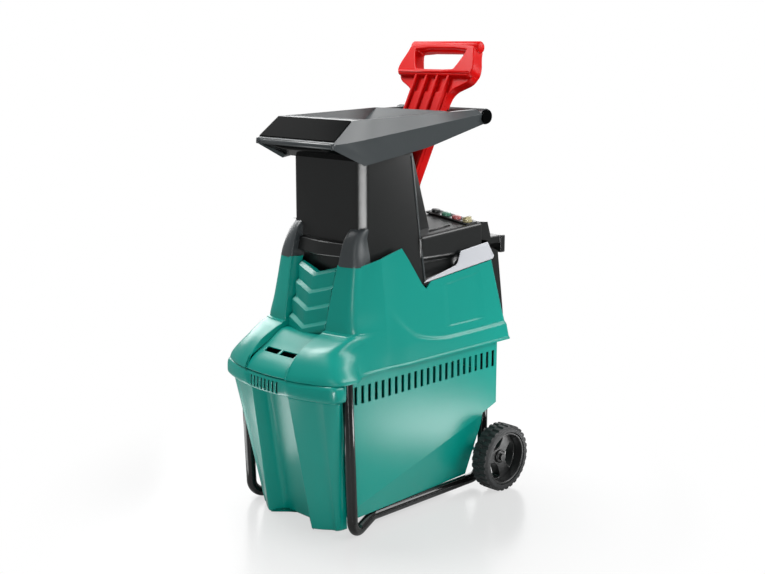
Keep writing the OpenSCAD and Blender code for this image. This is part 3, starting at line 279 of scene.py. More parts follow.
# %% [markdown]
# ## Rounded edges on the plain mouldings
# No moulding has a knife edge: the tool is rounded so that it fills and so that it releases.
# Those radii catch the thin highlights by which the eye reads plastic. A copy of a CAD solid gets
# its triangles joined back into flat faces, then a bevel on every edge that turns sharply.

# %% Soften a CAD solid
def finish_piece(obj, node, material, instead=False):
    """Gives a piece its finish and the body of a CAD node, beside or instead of that node."""
    obj.data.materials.clear()
    obj.data.materials.append(material)
    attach(obj, body_of_node[node])
    if instead:
        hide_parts(node)
    return obj


def edge_radius(obj, width_mm, segments=2, sharp=40, harden=True):
    """Rounds every edge that turns by more than sharp degrees."""
    bevel = obj.modifiers.new("edge_radius", "BEVEL")
    bevel.width = width_mm / 1000
    bevel.segments = segments
    bevel.limit_method = "ANGLE"
    bevel.angle_limit = math.radians(sharp)
    bevel.harden_normals = harden
    return obj


def mesh_object(name, work, smooth=True):
    """Turns a bmesh into an object of the scene."""
    for face in work.faces:
        face.smooth = smooth
    mesh = bpy.data.meshes.new(name)
    work.to_mesh(mesh)
    work.free()
    obj = bpy.data.objects.new(name, mesh)
    scene.collection.objects.link(obj)
    return obj


def soften(name, width_mm, material, flat=False):
    """Copy of a CAD node with rounded edges; flat keeps large plane faces free of shading waves."""
    work = bmesh.new()
    work.from_mesh(nodes[name].data)
    bmesh.ops.remove_doubles(work, verts=work.verts, dist=0.00001)
    bmesh.ops.dissolve_limit(work, angle_limit=math.radians(0.6), verts=work.verts, edges=work.edges)
    obj = edge_radius(mesh_object(name + "_moulded", work, not flat), width_mm, 3, 32, not flat)
    return finish_piece(obj, name, material, instead=True)


for name, width, material in [
        ("chute_rear", 2.5, black_pp), ("pusher_holder", 2.0, black_pp),
        ("tyre_right", 0.7, tyre_pvc), ("tyre_left", 0.7, tyre_pvc),
        ("side_band_right", 1.0, silver_paint), ("side_band_left", 1.0, silver_paint),
        ("cord_hooks", 3.0, black_pp), ("control_panel", 0.8, black_pp),
        ("start_button", 1.2, button_green), ("stop_button", 1.2, button_red),
        ("overload_button", 1.2, black_pp), ("direction_selector", 0.8, selector_yellow),
        ("adjusting_knob", 1.5, black_pp), ("chassis", 1.5, black_pp)]:
    soften(name, width, material)
soften("rear_cover", 2.5, black_pp, flat=True)

# %% [markdown]
# ## The green housing
# The upper moulding is one flowing skin: a hood over the front legs, two pillars beside a sloping
# channel, and long sides with a swept crease. A skin like this is easiest to describe in slices.
# At each height we draw half an outline as a few control points, soften it by cutting corners
# again and again, and join slice to slice with quads. The other half is its mirror image.

# %% Curves through a few points
def ease(t):
    """Smooth step from 0 to 1, level at both ends."""
    t = min(max(t, 0.0), 1.0)
    return t * t * (3 - 2 * t)


def along(points, x):
    """Value at x on a smooth curve through (x, value) pairs, without overshoot."""
    n = len(points)
    if x <= points[0][0]:
        return points[0][1]
    if x >= points[-1][0]:
        return points[-1][1]
    k = next(i for i in range(n - 1) if points[i][0] <= x <= points[i + 1][0])
    step = [(points[i + 1][1] - points[i][1]) / (points[i + 1][0] - points[i][0]) for i in range(n - 1)]

    def slope(i):
        if i == 0 or i == n - 1:
            return step[min(i, n - 2)]
        a, b = step[i - 1], step[i]
        return 0.0 if a * b <= 0 else 2 * a * b / (a + b)

    (x0, v0), (x1, v1) = points[k], points[k + 1]
    h = x1 - x0
    t = (x - x0) / h
    return (v0 * (1 + 2 * t) * (1 - t) ** 2 + slope(k) * h * t * (1 - t) ** 2
            + v1 * t * t * (3 - 2 * t) + slope(k + 1) * h * t * t * (t - 1))


def along_line(points, x):
    """Value at x on straight lines through (x, value) pairs."""
    k = next(i for i in range(len(points) - 1) if x <= points[i + 1][0])
    (x0, v0), (x1, v1) = points[k], points[k + 1]
    return v0 + (v1 - v0) * (x - x0) / (x1 - x0)


def between(p, q, t):
    """The point that lies a share t of the way from p to q."""
    return tuple(a + (b - a) * t for a, b in zip(p, q))


def steps(low, high, count):
    """Even steps from low to high, with both ends."""
    return [low + (high - low) * k / count for k in range(count + 1)]


def ring_angles(count):
    return [2 * math.pi * k / count for k in range(count)]


def quarters(p, q):
    """The two points on a side that lie a quarter of its length from its ends."""
    pairs = list(zip(p, q))
    return [tuple(0.75 * a + 0.25 * b for a, b in pairs), tuple(0.25 * a + 0.75 * b for a, b in pairs)]


def cut_corners(points, times, closed=False):
    """Chaikin's rule: each pass replaces a corner by the quarter points of its two sides."""
    for _ in range(times):
        ends = points[1:] + points[:1] if closed else points[1:]
        fresh = [point for p, q in zip(points, ends) for point in quarters(p, q)]
        points = fresh if closed else [points[0]] + fresh + [points[-1]]
    return points


# %% Mesh from rows of points
def rows_to_mesh(name, rows, mirror=False, skip=None, thick_mm=0.0, closed=False, inside=False):
    """Quads between rows of bench points, except those that skip names. The option mirror adds the
    other side, and thick_mm a wall behind the seen face, which looks outward, or inward with inside."""
    work = bmesh.new()

    def lay(sign):
        grid = [[work.verts.new(at(sign * p[0], p[1], p[2])) for p in row] for row in rows]
        count = len(rows[0])
        for i in range(len(rows) - 1):
            for j in range(count if closed else count - 1):
                if skip and skip(i, j):
                    continue
                k = (j + 1) % count
                corner = [grid[i][j], grid[i][k], grid[i + 1][k], grid[i + 1][j]]
                work.faces.new(corner if sign > 0 else corner[::-1])

    lay(1)
    if mirror:
        lay(-1)
    bmesh.ops.remove_doubles(work, verts=work.verts, dist=0.00002)
    bmesh.ops.dissolve_degenerate(work, dist=0.000005, edges=work.edges)
    loose = [v for v in work.verts if not v.link_faces]
    bmesh.ops.delete(work, geom=loose, context="VERTS")
    bmesh.ops.recalc_face_normals(work, faces=work.faces)
    if inside:
        bmesh.ops.reverse_faces(work, faces=work.faces)
    obj = mesh_object(name, work)
    if thick_mm:
        wall = obj.modifiers.new("wall", "SOLIDIFY")
        wall.thickness = thick_mm / 1000
        wall.offset = -1
        wall.use_even_offset = True
    return obj


# %% Measures of the housing
# The channel between the pillars: half width, height of its foot, lean of its back, and where that
# back and the lock slide's back stand at the foot.
CHANNEL_X, CHANNEL_FOOT, CHANNEL_LEAN = 62, 404, 0.268
CHANNEL_BACK, SLIDE_BACK = 31.9, 31.5
# Height and Y of the sloping floor in front of the channel.
RAMP = [(333, -92.5), (339, -90), (349, -82), (359, -70), (367, -55), (376, -38), (403.6, 17.5)]
# For each height, nine points (x, y) from the channel's edge round the hood to the start of the side.
HOOD = {
    332.4: [(62, -88), (105, -79), (152, -60), (169, -47), (177, -32), (179, -12), (176, 10),
            (154.4, 33), (152.4, 110)],
    335: [(62, -87.4), (105, -78.6), (151, -59.8), (168, -46.5), (176, -31.5), (178, -12), (175, 10),
          (154.4, 32.8), (152.4, 110)],
    338.4: [(62, -86.5), (105, -78), (150, -59.5), (167, -46), (175, -31), (177, -12), (173, 10),
            (151.5, 31.5), (150, 110)],
    360: [(62, -74), (102, -66), (140, -50), (153, -37), (159, -22), (159.5, -6), (154, 16),
          (147.5, 32), (150, 110)],
    387: [(62, -47), (98, -41), (124, -29), (135, -16), (140, -2), (142.3, 12), (143, 24), (145, 52),
          (149.5, 110)],
    405: [(62, -10), (95, -6), (120, 1), (131, 8), (136.5, 16), (139.5, 27), (142.5, 48), (146, 78),
          (149, 110)],
    413: [(62, 10.5), (92, 14.5), (116, 18.5), (127, 23.5), (133.5, 29.8), (137.5, 39), (141.5, 57),
          (145.7, 83.5), (148.5, 110)],
    414.4: [(62, 11), (92, 15), (116, 19), (127, 24), (133.3, 30.2), (137.3, 39.4), (141.3, 57.4),
            (145.5, 84), (148.5, 110)],
    415.2: [(62.8, 17.6), (91, 20.8), (113.5, 24.4), (124.6, 28.6), (131.6, 33.6), (136.6, 41),
            (141.3, 59), (145.5, 85), (148.4, 110)],
    424: [(63, 19), (91, 22), (113, 25.5), (124, 29.8), (130.8, 35), (135.4, 43), (140.4, 61),
          (144.8, 86), (148, 110)],
    460: [(65, 26), (90, 29), (110.5, 32.5), (120, 37), (125.5, 44), (129, 54), (135, 72), (140, 92),
          (144, 110)],
    548: [(71, 45), (90, 47), (106, 49), (114, 53), (118, 61), (120, 70), (125, 83), (130, 96),
          (134, 110)],
    590: [(74, 53), (90, 55), (105, 57), (112, 61), (116, 68), (118, 76), (122, 87), (127, 98),
          (131, 110)],
}
SIDE_START, SIDE_BLEND = 110, 90
SIDE_X = [(332, 150), (372, 150), (395, 148.5), (415, 147), (440, 146), (500, 143.5), (560, 142),
          (590, 141.5)]
CREASE = [(110, 476), (123, 457), (150, 426), (202, 388), (250, 375), (296, 370), (380, 370),
          (500, 372)]
SIDE_Y = [116, 124, 132, 140, 148, 156, 164, 170, 176, 184, 192, 200, 208, 214, 219, 223, 227,
          232, 236, 241, 246]
REAR_T = [0.02, 0.05, 0.1, 0.15, 0.2, 0.2466, 0.2512, 0.3, 0.36, 0.42, 0.48, 0.54, 0.6, 0.66,
          0.72, 0.7705, 0.775, 0.82, 0.87, 0.91, 0.945, 0.97]
TOP_EDGE = [(-200, 548), (66, 548), (164, 576), (219, 495), (232, 483), (246, 497), (445, 518.6), (700, 520)]
LOW_Z = [332.4, 333.5, 335, 335.8, 336.6, 337.4, 338.4, 340, 343, 346, 350, 354, 358, 361]
LOW_Z += list(range(364, 409, 2))
LOW_Z += [409.5, 411, 412.2, 413, 413.5, 414, 414.4, 414.7, 415.2, 417, 420, 423, 427, 432, 438]
LOW_Z += [445, 452, 460]
HIGH_STEPS = 18
levels = sorted(HOOD)
print("housing slices:", len(LOW_Z) + HIGH_STEPS)


# %% Slices of the housing
def hood_control(z):
    return [tuple(along([(h, HOOD[h][k][axis]) for h in levels], z) for axis in (0, 1)) for k in range(9)]


def leaning(y, z):
    """Y, at height z, of a plane that leans like the channel's back and stands at y at its foot."""
    return y + CHANNEL_LEAN * (z - CHANNEL_FOOT)


def front_slice(z):
    """From the back of the channel over the pillar's rounded edge to the start of the flat side."""
    points = hood_control(z)
    a, b = points[0], points[1]
    channel = along(RAMP, z) if z < RAMP[-1][0] else leaning(CHANNEL_BACK, z)
    back = max(channel, a[1] + 0.5)
    depth = back - a[1]
    soft = min(6.0, depth * 0.4)
    wall = [(CHANNEL_X, back), (CHANNEL_X + (a[0] - CHANNEL_X) * 0.5, a[1] + depth * 0.5),
            (a[0] - 0.2, a[1] + soft), a, (a[0] + 6, a[1] + (b[1] - a[1]) * 6 / (b[0] - a[0]))]
    return [(x, y, z) for x, y in cut_corners(wall + points[1:], 3)]


def side_x(y, z, corner_x):
    """Half width of the long side: wider below the crease and in the bead at its foot, with a field
    that is sunk by 1.6 mm."""
    blend = ease((y - SIDE_START) / SIDE_BLEND)
    base = corner_x + (along(SIDE_X, z) - corner_x) * blend
    swell = 5.0 * ease((along(CREASE, y) - z) / 9 + 0.5) * ease((y - 112) / 60)
    bead = 2.4 * ease((338.4 - z) / 2.8) * blend
    field_top = 479 + (y - SIDE_Y[-1]) * 0.11
    field = -1.6 if 296 < y < 402 and 392 < z < field_top else 0
    return base + swell + bead + field


def side_slice(z, corner_x):
    """From the start of the side round the rear corner; the rear leans forwards as it rises."""
    rear = 497 - 0.286 * (z - 332)
    ys = SIDE_Y + [SIDE_Y[-1] + (rear - SIDE_Y[-1]) * t for t in REAR_T]
    row = [(side_x(y, z, corner_x), y, z) for y in ys]
    x = side_x(rear - 9, z, corner_x)
    return row + [(x - dx, rear - dy, z) for dx, dy in [(0, 5), (0.9, 2), (2.8, 0.4), (6, 0), (11, 0)]]


def edge_heights():
    """Height of the top edge in every column. Behind the shoulder a column's Y changes with the height,
    so the height is found by going round a few times."""
    tops = [along_line(TOP_EDGE, p[1]) for p in front_slice(548)]
    tops += [along_line(TOP_EDGE, y) for y in SIDE_Y]
    for k in range(len(SIDE_Y), len(side_slice(420, 148))):
        top = 497.0
        for _ in range(12):
            top = along_line(TOP_EDGE, side_slice(top, 138)[k][1])
        tops.append(top)
    return tops


def housing_rows():
    """Level rows up to the last of LOW_Z, then rows that share out the height below the top edge."""
    tops = edge_heights()
    front_count = len(front_slice(548))

    def point(j, z):
        if j < front_count:
            return front_slice(z)[j]
        return side_slice(z, hood_control(z)[-1][0])[j - front_count]

    start = LOW_Z[-1]
    rows = [[point(j, z) for j in range(len(tops))] for z in LOW_Z]
    for share in steps(0, 1, HIGH_STEPS)[1:]:
        rows.append([point(j, start + (top - start) * share) for j, top in enumerate(tops)])
    return rows


housing_skin = rows_to_mesh("housing_skin", [r[::-1] for r in housing_rows()], mirror=True, thick_mm=3.0)
finish_piece(edge_radius(housing_skin, 0.8), "housing", green_abs, instead=True)
print("housing faces:", len(housing_skin.data.polygons))

# %% [markdown]
# ## The sloping floor of the channel
# Between the pillars a plate slopes down to the front lip. Two finger slots lie across its foot.
# A grid whose lines run along the slots' edges lets us leave the slots out and gives the plate its
# thickness afterwards.

# %% Channel floor
RAMP_X = [0, 3, 12, 24, 36, 46, 52, 58, 62.3]
RAMP_Y = [31, 17.5, 5, -10, -25, -36, -42, -54, -59, -65, -71, -77, -82, -86, -89, -91.2, -92.3]
ramp_height = sorted((y, z) for z, y in RAMP) + [(40, 403.7)]
# The lip and the ramp's foot follow shallow arcs round a centre far behind them.
ARC_CENTRE, LIP_RADIUS, RAMP_RADIUS, SLOT_SHADE_RADIUS = 294, 389, 387, 385.2


def on_arc(radius, x):
    return ARC_CENTRE - math.sqrt(radius * radius - x * x)


def ramp_point(x, y):
    bow = on_arc(RAMP_RADIUS, x) - on_arc(RAMP_RADIUS, 0)
    return (x, y + bow * ease((-20 - y) / 60), along(ramp_height, y))


ramp_rows = [[ramp_point(x, y) for x in RAMP_X] for y in RAMP_Y]
slot_row = RAMP_Y.index(-42)
channel_floor = rows_to_mesh("channel_floor", ramp_rows, mirror=True, thick_mm=3.0,
                             skip=lambda i, j: i == slot_row and 1 <= j <= 4)
finish_piece(edge_radius(channel_floor, 1.0), "housing", green_abs)
print("channel floor faces:", len(channel_floor.data.polygons))

# %% [markdown]
# ## The chute with its caps
# The feed chute is a tall duct whose sides flare towards the rear foot. Slices joined by quads give
# the slow twist of those sides without creases. Two caps carry the pillars' line up to the chute,
# a prow-shaped flange joins them, and a thin rib closes the duct's rear edge.

# %% Chute
CHUTE_TOP, CHUTE_LOW, CHUTE_CORNER = 764, 489, 19.0
CHUTE_X, CHUTE_FRONT, CHUTE_REAR = 110, 80, 219


def chute_row(z):
    flare = (CHUTE_TOP - z) / (CHUTE_TOP - CHUTE_LOW)
    rear = (CHUTE_X + 26 * flare, CHUTE_REAR + 17 * flare)
    x, y, c = CHUTE_X, CHUTE_FRONT, CHUTE_CORNER
    arc = cut_corners([(x - 1.15 * c, y), (x - 0.9 * c, y + 0.3), (x - 0.7 * c, y + 0.14 * c),
                       (x - 0.14 * c, y + 0.7 * c), (x - 0.3, y + 0.9 * c), (x, y + 1.15 * c)], 2)
    side = [between(arc[-1], rear, t) for t in steps(0, 1, 12)[1:]]
    return [(*point, z) for point in [(0, y), (30, y), (60, y), (80, y)] + arc + side]


chute_rows = [chute_row(z) for z in steps(CHUTE_LOW, CHUTE_TOP, 22)]
chute_duct = rows_to_mesh("chute_duct", chute_rows, mirror=True, thick_mm=3.0)
finish_piece(edge_radius(chute_duct, 0.8), "chute_front", black_pp, instead=True)
print("chute faces:", len(chute_duct.data.polygons))


# %% Caps on the pillars
CAP_LOW, CAP_TOP = 546, 621.5
CAP_FRONT = [(546, 44.5), (560, 47.5), (576, 51.5), (590, 56.5), (602, 62.5), (611, 69), (617, 75),
             (620.5, 80)]


def cap_row(z):
    rise = (z - CAP_LOW) / 75
    front = along(CAP_FRONT, z)
    inner, outer = 71 + 3 * rise, 118.5 - 9 * ease(1.25 * rise)
    corner = [(inner, 83), (inner, front + 9), (inner + 0.5, front + 2), (inner + 7, front),
              (outer - 14, front + 3.5), (outer - 5, front + 7.5), (outer, front + 16),
              (outer + 1.5 - 1.5 * rise, front + 26), (outer - 2, max(front + 34, 96))]
    return [(x, y, z) for x, y in cut_corners(corner, 3)]


cap_rows = [cap_row(z) for z in steps(CAP_LOW, 600, 12) + [606, 611, 615, 618, 620]]
cap_rows.append([(x, max(y, 81.5), CAP_TOP) for x, y, z in cap_rows[-1]])
cap_rows.append([(x, 84, CAP_TOP) for x, y, z in cap_rows[-1]])
# Painted sheen: the caps belong to the black chute but are drawn in the hopper's lighter grey.
caps = rows_to_mesh("chute_caps", cap_rows, mirror=True)
finish_piece(caps, "chute_front", grey_pp)
print("cap faces:", len(caps.data.polygons))

# %% Flange between the caps
FLANGE_X = [0, 18, 36, 54, 72]
# Y and height of each line across the flange, and how far its middle stands out.
FLANGE = [(82, 590, 0), (72, 587.5, 6), (70.5, 585.5, 7), (64.5, 563, 9), (65.5, 560.5, 9), (84, 557, 2)]
flange_rows = []
for y, z, point in FLANGE:
    drop = 0.15 if z < 580 else 0
    bows = [point * (1 - x / FLANGE_X[-1]) for x in FLANGE_X]
    flange_rows.append([(x, y - bow, z - drop * bow) for x, bow in zip(FLANGE_X, bows)])
flange = rows_to_mesh("chute_flange", flange_rows, mirror=True)
finish_piece(edge_radius(flange, 0.9, 2, 20), "chute_front", black_pp)
print("flange faces:", len(flange.data.polygons))


# %% Rib along the chute's rear edge
def rod(name, start, end, radius, material, like, sides=12):
    """Round bar between two bench points, with closed ends."""
    a, b = Vector(start), Vector(end)
    axis = (b - a).normalized()
    u = axis.orthogonal().normalized()
    w = axis.cross(u)
    rows = []
    for t, share in [(0, 0.0), (0, 0.7), (0.3 * radius, 1.0), (-0.3 * radius, 1.0), (0, 0.7), (0, 0.0)]:
        middle = (a if len(rows) < 3 else b) + axis * t
        rows.append([middle + (u * math.cos(q) + w * math.sin(q)) * radius * share
                     for q in ring_angles(sides)])
    return finish_piece(rows_to_mesh(name, rows, closed=True), like, material)


# Painted highlight: the rib belongs to the black chute but is drawn in light grey, as the bright line along
# its edge.
for side, label in SIDES:
    rod("chute_rib_" + label, (side * 110.5, 219, 760), (side * 136.5, 236, 490), 2.2,
        grey_pp, "chute_front")

# %% [markdown]
# ## The motor lid
# The lid is a low crown over the motor with a crisp edge along each side. Below that edge the side
# wall is plain at the rear and hollowed out in front of the silver band, so that a hand can reach
# under it. Slices from front to back carry the crown, the edge and the wall in one skin.

# %% Motor lid
LID_FRONT, LID_SEAM, LID_X = 227, 407, 144
CROWN = [(0, 15), (14, 14.2), (40, 11.6), (74, 7.6), (110, 3.2), (132, 1.0), (139, 0.2)]
BAND_TOP = [(227, 501), (234, 503.5), (322, 522), (328, 526), (332, 536), (336, 551), (410, 559.5)]


def lid_edge(y):
    return 590 + 17 * (y - 219) / 213


def hollow(y, z):
    """Depth of the hand hollow in the lid's side."""
    return 11 * ease((337 - y) / 12) * ease((548 - z) / 14)


def lid_row(y):
    edge = lid_edge(y)
    half = LID_X - 13 * (LID_SEAM - y) / (LID_SEAM - LID_FRONT)
    crown = [(x * half / LID_X, y, edge + rise) for x, rise in CROWN]
    turn = [(half - 2.2, y, edge - 0.6), (half - 0.7, y, edge - 1.8), (half, y, edge - 4)]
    foot = along_line(BAND_TOP, y) - 12
    wall = [edge - 4 + (foot - edge + 4) * k / 20 for k in range(1, 21)]
    return crown + turn + [(half - hollow(y, z), y, z) for z in wall] + [(141, y, foot)]


lid_y = [227, 236, 246, 256, 266, 276, 286, 296, 304, 312, 318, 323, 327, 331, 334, 337, 341,
         348, 358, 370, 382, 394, 402, 405.5, 406.8]
lid_rows = [lid_row(y) for y in lid_y]
lid_rows[-2] = [(x - 0.4, y, z - 0.5) for x, y, z in lid_rows[-2]]
lid_rows[-1] = [(x - 1.4, y, z - 1.6) for x, y, z in lid_rows[-1]]
lid_rows.append([(x * 0.96, LID_SEAM, min(z - 4, 566)) for x, y, z in lid_rows[-1]])
lid_rows.insert(0, [(min(x, 100), 230, min(z, 582)) for x, y, z in lid_rows[0]])
lid_skin = rows_to_mesh("lid_skin", lid_rows, mirror=True)
finish_piece(lid_skin, "motor_lid", black_pp, instead=True)
for side, label in SIDES:
    start, end = [(side * 110, y, lid_edge(y) + 3) for y in (275, 340)]
    rod("lid_ledge_" + label, start, end, 1.6, black_pp, "motor_lid")
print("lid faces:", len(lid_skin.data.polygons))

# %% [markdown]
# ## The stepped lock slide
# A stack of blunt prows climbs the channel like a stair. Every tread is a bevel that faces the
# light, so it reads as a bright chevron over a dark riser. Rows of points up the stair make the
# face; sides and back close it.

# %% Lock slide
# Each step stands higher and further back than the last; its tread is a bevel, its middle hangs lower.
STEP, STEP_BACK, TREAD, POINT_DROP, STEP_COUNT = 35.4, 9.45, 7.2, 16, 4
SLIDE_X = [0, 12, 24, 36, 48, 56]


def slide_face():
    """The slide's foot, then for each step the top of its riser and the back of its tread."""
    rows = []
    bows = [1 - x / SLIDE_X[-1] for x in SLIDE_X]
    for i in range(STEP_COUNT):
        front, point, rise_to = 24.2 + STEP_BACK * i, 13.5 - 1.4 * i, 425.6 + STEP * i
        blunter = 0 if i == STEP_COUNT - 1 else 1.4
        riser = [(x, front - point * bow, rise_to - POINT_DROP * bow) for x, bow in zip(SLIDE_X, bows)]
        tread = [(x, y + STEP_BACK - blunter * bow, z + TREAD) for (x, y, z), bow in zip(riser, bows)]
        if i == 0:
            rows.append([(x, y, 404.4 + min(0.0, (y - 17.5) * 0.497)) for x, y, z in riser])
        rows += [riser, tread]
    return rows


face = slide_face()
slide_rows = [[(x, leaning(SLIDE_BACK, z), z) for x, y, z in face[0]]] + face
slide_rows += [[(x, leaning(SLIDE_BACK, z + 1), z + 1) for x, y, z in face[-1]]]
for k, row in enumerate(slide_rows):
    x, y, z = row[-1]
    slide_rows[k] = row + [(x, max(leaning(SLIDE_BACK, z), y), z)]
lock_face = rows_to_mesh("lock_slide_face", [r[::-1] for r in slide_rows], mirror=True)
finish_piece(edge_radius(lock_face, 1.0, 2, 25), "lock_slide", green_abs, instead=True)
print("lock slide faces:", len(lock_face.data.polygons))

# %% [markdown]
# ## The collection box
# The box has a tapered nose with a deep flute between two columns, a rolled lip to pull it by, and
# plain sides with a row of vents. The sides come from the CAD solid with rounded edges; the nose
# and the lip are lofted, because their curves are what the eye follows.

# %% Nose of the box
LIP_Z, FLOOR_Z = 295.6, 3
# Half outlines (x, y) just under the lip and at the floor.
NOSE_TOP = [(0, -45), (24, -45), (38, -45.5), (45, -48.5), (48, -58), (55.5, -77.2), (57, -78.8),
            (59.5, -78.4), (84, -73), (100, -68.5), (112, -64.5), (121, -61), (131, -58.5),
            (143, -56.5), (157, -48), (164, -38), (160, -27)]
NOSE_FOOT = [(0, 6), (30, 6), (46, 5.5), (54, 3), (58, -6), (67.5, -26.8), (69.5, -28.8), (72, -28.2),
             (84, -22), (93, -16), (100, -10), (106, -5), (111, -3), (116, -3), (120, 4), (122, 13),
             (122, 22)]


def nose_row(z):
    t = (LIP_Z - z) / (LIP_Z - FLOOR_Z)
    control = [between(p, q, t) for p, q in zip(NOSE_TOP, NOSE_FOOT)]
    return [(x, y, z) for x, y in cut_corners(control, 3)]


nose_rows = []
for z in [3.0, 3.6, 5, 8] + steps(12, LIP_Z + 8, 22):
    # The lowest 5 mm are drawn in by a quarter of an ellipse, as the edge of the floor.
    draw = 2.2 * (1 - math.sqrt(max(0.0, 1 - max(0.0, (8 - z) / 5) ** 2)))
    nose_rows.append([(x - draw * ease(x / 60), y + draw, z) for x, y, z in nose_row(z)])
nose_rows.insert(0, [(0, 22, FLOOR_Z)] * len(nose_rows[0]))
box_nose = rows_to_mesh("box_nose", [r[::-1] for r in nose_rows], mirror=True, thick_mm=2.5)
finish_piece(box_nose, "collection_box", green_abs)
print("nose faces:", len(box_nose.data.polygons))

# %% Rolled lip with its grip slots
LIP_X, SLOT_HALF, SLOT_PITCH, SLOT_COUNT = 175, 2.6, 11.6, 4
# Height of each line round the lip, and how far it lies inside the outermost one.
LIP_PROFILE = [(293.5, 52), (293, 16), (295.6, 10.5), (296.4, 6), (298, 2.6), (301, 0.7), (305, 0.0),
               (312, 0.0), (320, 0.3), (325, 1.2), (328.5, 2.8), (330.8, 5.2), (331.6, 8.5),
               (331.6, 18)]
slot_centres = [(k + 0.5) * SLOT_PITCH for k in range(SLOT_COUNT)]
slot_edges = [c + half for c in slot_centres for half in (-SLOT_HALF, SLOT_HALF)]
near_count = 1 + len(slot_edges)


def lip_row(z, inset):
    """Half a line round the lip: a point at every edge of a slot, then the rounded corner and the side."""
    radius, half = LIP_RADIUS - inset, LIP_X - inset
    front = [(x, on_arc(radius, x)) for x in steps(0, half - 26, 12)]
    turn = front[-1][1]
    corner = [(half - 12, turn + 5.5), (half - 3, turn + 14), (half, turn + 26), (half, -27.5)]
    beyond = [p for p in cut_corners(front + corner, 2) if p[0] > slot_edges[-1] + 3]
    near = [(x, on_arc(radius, x)) for x in [0] + slot_edges]
    return [(x, y, z) for x, y in near + beyond]


lip_lines = [lip_row(z, inset) for z, inset in LIP_PROFILE]
lip_count = min(len(line) for line in lip_lines)
lip_rows = [line[:near_count] + line[near_count - lip_count:] for line in lip_lines]
slot_rows = [k for k, (z, inset) in enumerate(LIP_PROFILE) if 301 <= z < 325]
slot_columns = range(1, near_count, 2)
box_lip = rows_to_mesh("box_lip", [r[::-1] for r in lip_rows], mirror=True, thick_mm=2.2,
                       skip=lambda i, j: i in slot_rows and lip_count - 2 - j in slot_columns)
finish_piece(box_lip, "collection_box", green_abs)

# Painted shade: a black sheet just behind the grip slots stands for the dark inside of the box seen through
# them.
slot_shade_rows = [[(x, on_arc(SLOT_SHADE_RADIUS, x), z) for x in (0, 12, 24, 36, 48)] for z in (298, 328)]
lip_backing = rows_to_mesh("lip_backing", slot_shade_rows, mirror=True, thick_mm=1.0)
finish_piece(lip_backing, "collection_box", black_pp)
print("lip faces:", len(box_lip.data.polygons))

# %% Sides, floor and back of the box
box_body = soften("collection_box", 1.2, green_abs, flat=True)
work = bmesh.new()
work.from_mesh(box_body.data)
# The lofted nose takes the place of everything in front of this leaning plane.
low, high = at(0, 24, FLOOR_Z), at(0, -25.5, LIP_Z)
lean = Vector((0, high.z - low.z, low.y - high.y)).normalized()
bmesh.ops.bisect_plane(work, geom=work.verts[:] + work.edges[:] + work.faces[:], plane_co=low,
                       plane_no=-lean, clear_outer=True)
work.to_mesh(box_body.data)
work.free()
# Painted shade: a near-black sheet behind the last vents stands for the dark inside of the box seen through
# them.
vent_shade_rows = [[(145.3, 399, z), (145.3, 457, z)] for z in (268, 318)]
vent_shade_plate = rows_to_mesh("vent_blind", vent_shade_rows, mirror=True, thick_mm=1.2)
finish_piece(vent_shade_plate, "collection_box", plate_black)
print("box faces:", len(box_body.data.polygons))

# %% [markdown]
# ## The hopper
# The hopper is a shallow tray with a raked front, a long bevel along each side and a keel-shaped
# skirt. Its faces are nearly flat and meet in crisp lines, so each face gets its own row of
# quads between two lines, and only the lines get a small radius.

# %% Hopper skin
CREASE_LINE = [(117, 0, 794.5), (123.5, 46.5, 798), (129, 83, 803), (131, 246, 820.4), (132, 412, 837.8)]
KEEL_LINE = [(126, 71.7, 749.8), (126, 258, 776.3), (126, 424, 815)]


def on_line(points, y):
    """Point at depth y on a line through bench points that rise in Y."""
    y = min(max(y, points[0][1]), points[-1][1])
    k = next(i for i in range(len(points) - 1) if y <= points[i + 1][1])
    t = (y - points[k][1]) / (points[k + 1][1] - points[k][1])
    return between(points[k], points[k + 1], t)


def ridge_z(y):
    """Height of the rim, which rises a little towards the rear."""
    return 839 + 8 * (y - 53) / 388


hopper_columns = []
for x in [0, 30, 60, 90, 104]:
    hopper_columns.append([(x, 84, 838.6), (x, 53, 839), (x, -2, 797), (x, -2, 785), (x, 8, 786)])
hopper_columns.append([(107, 84, 838.6), (112, 53, 839), (116, -2, 797), (116, -2, 785), (114, 8, 786)])
hopper_columns.append([(107, 85, 838.6), (112, 54, 839), (117, 0, 794.5), (126, 71.7, 749.8), (118, 74, 756)])
for k in range(1, 15):
    t = k / 14
    keel = on_line(KEEL_LINE, 71.7 + 352 * t)
    mouth_y, rim_y = 85 + 349 * t, 54 + 386 * t
    mouth = (107 - 7 * ease((t - 0.6) / 0.1), mouth_y, ridge_z(mouth_y))
    hopper_columns.append([mouth, (112, rim_y, ridge_z(rim_y)), on_line(CREASE_LINE, 412 * t), keel,
                           (keel[0] - 8, keel[1] + 2, keel[2] + 5)])
hopper_columns.append([(100, 438, 846.5), (110, 445, 846.5), (127, 438, 838), (124, 440, 818),
                       (116, 438, 822)])
hopper_rows = [list(r) for r in zip(*hopper_columns)]
hopper_skin = rows_to_mesh("hopper_skin", hopper_rows, mirror=True, thick_mm=3.0)
finish_piece(edge_radius(hopper_skin, 1.1, 2, 9), "hopper", grey_pp, instead=True)
print("hopper faces:", len(hopper_skin.data.polygons))

# %% Underside behind the lip
# Painted shade: the underside belongs to the grey hopper but is drawn in near-black, the shade it lies in.
underside_rows = [[(x, y, z) for x in (0, 60, 113)] for y, z in [(2, 787), (40, 773), (82, 757)]]
underside = rows_to_mesh("hopper_underside", underside_rows, mirror=True, thick_mm=2.0)
finish_piece(underside, "hopper", plate_black)
print("underside faces:", len(underside.data.polygons))

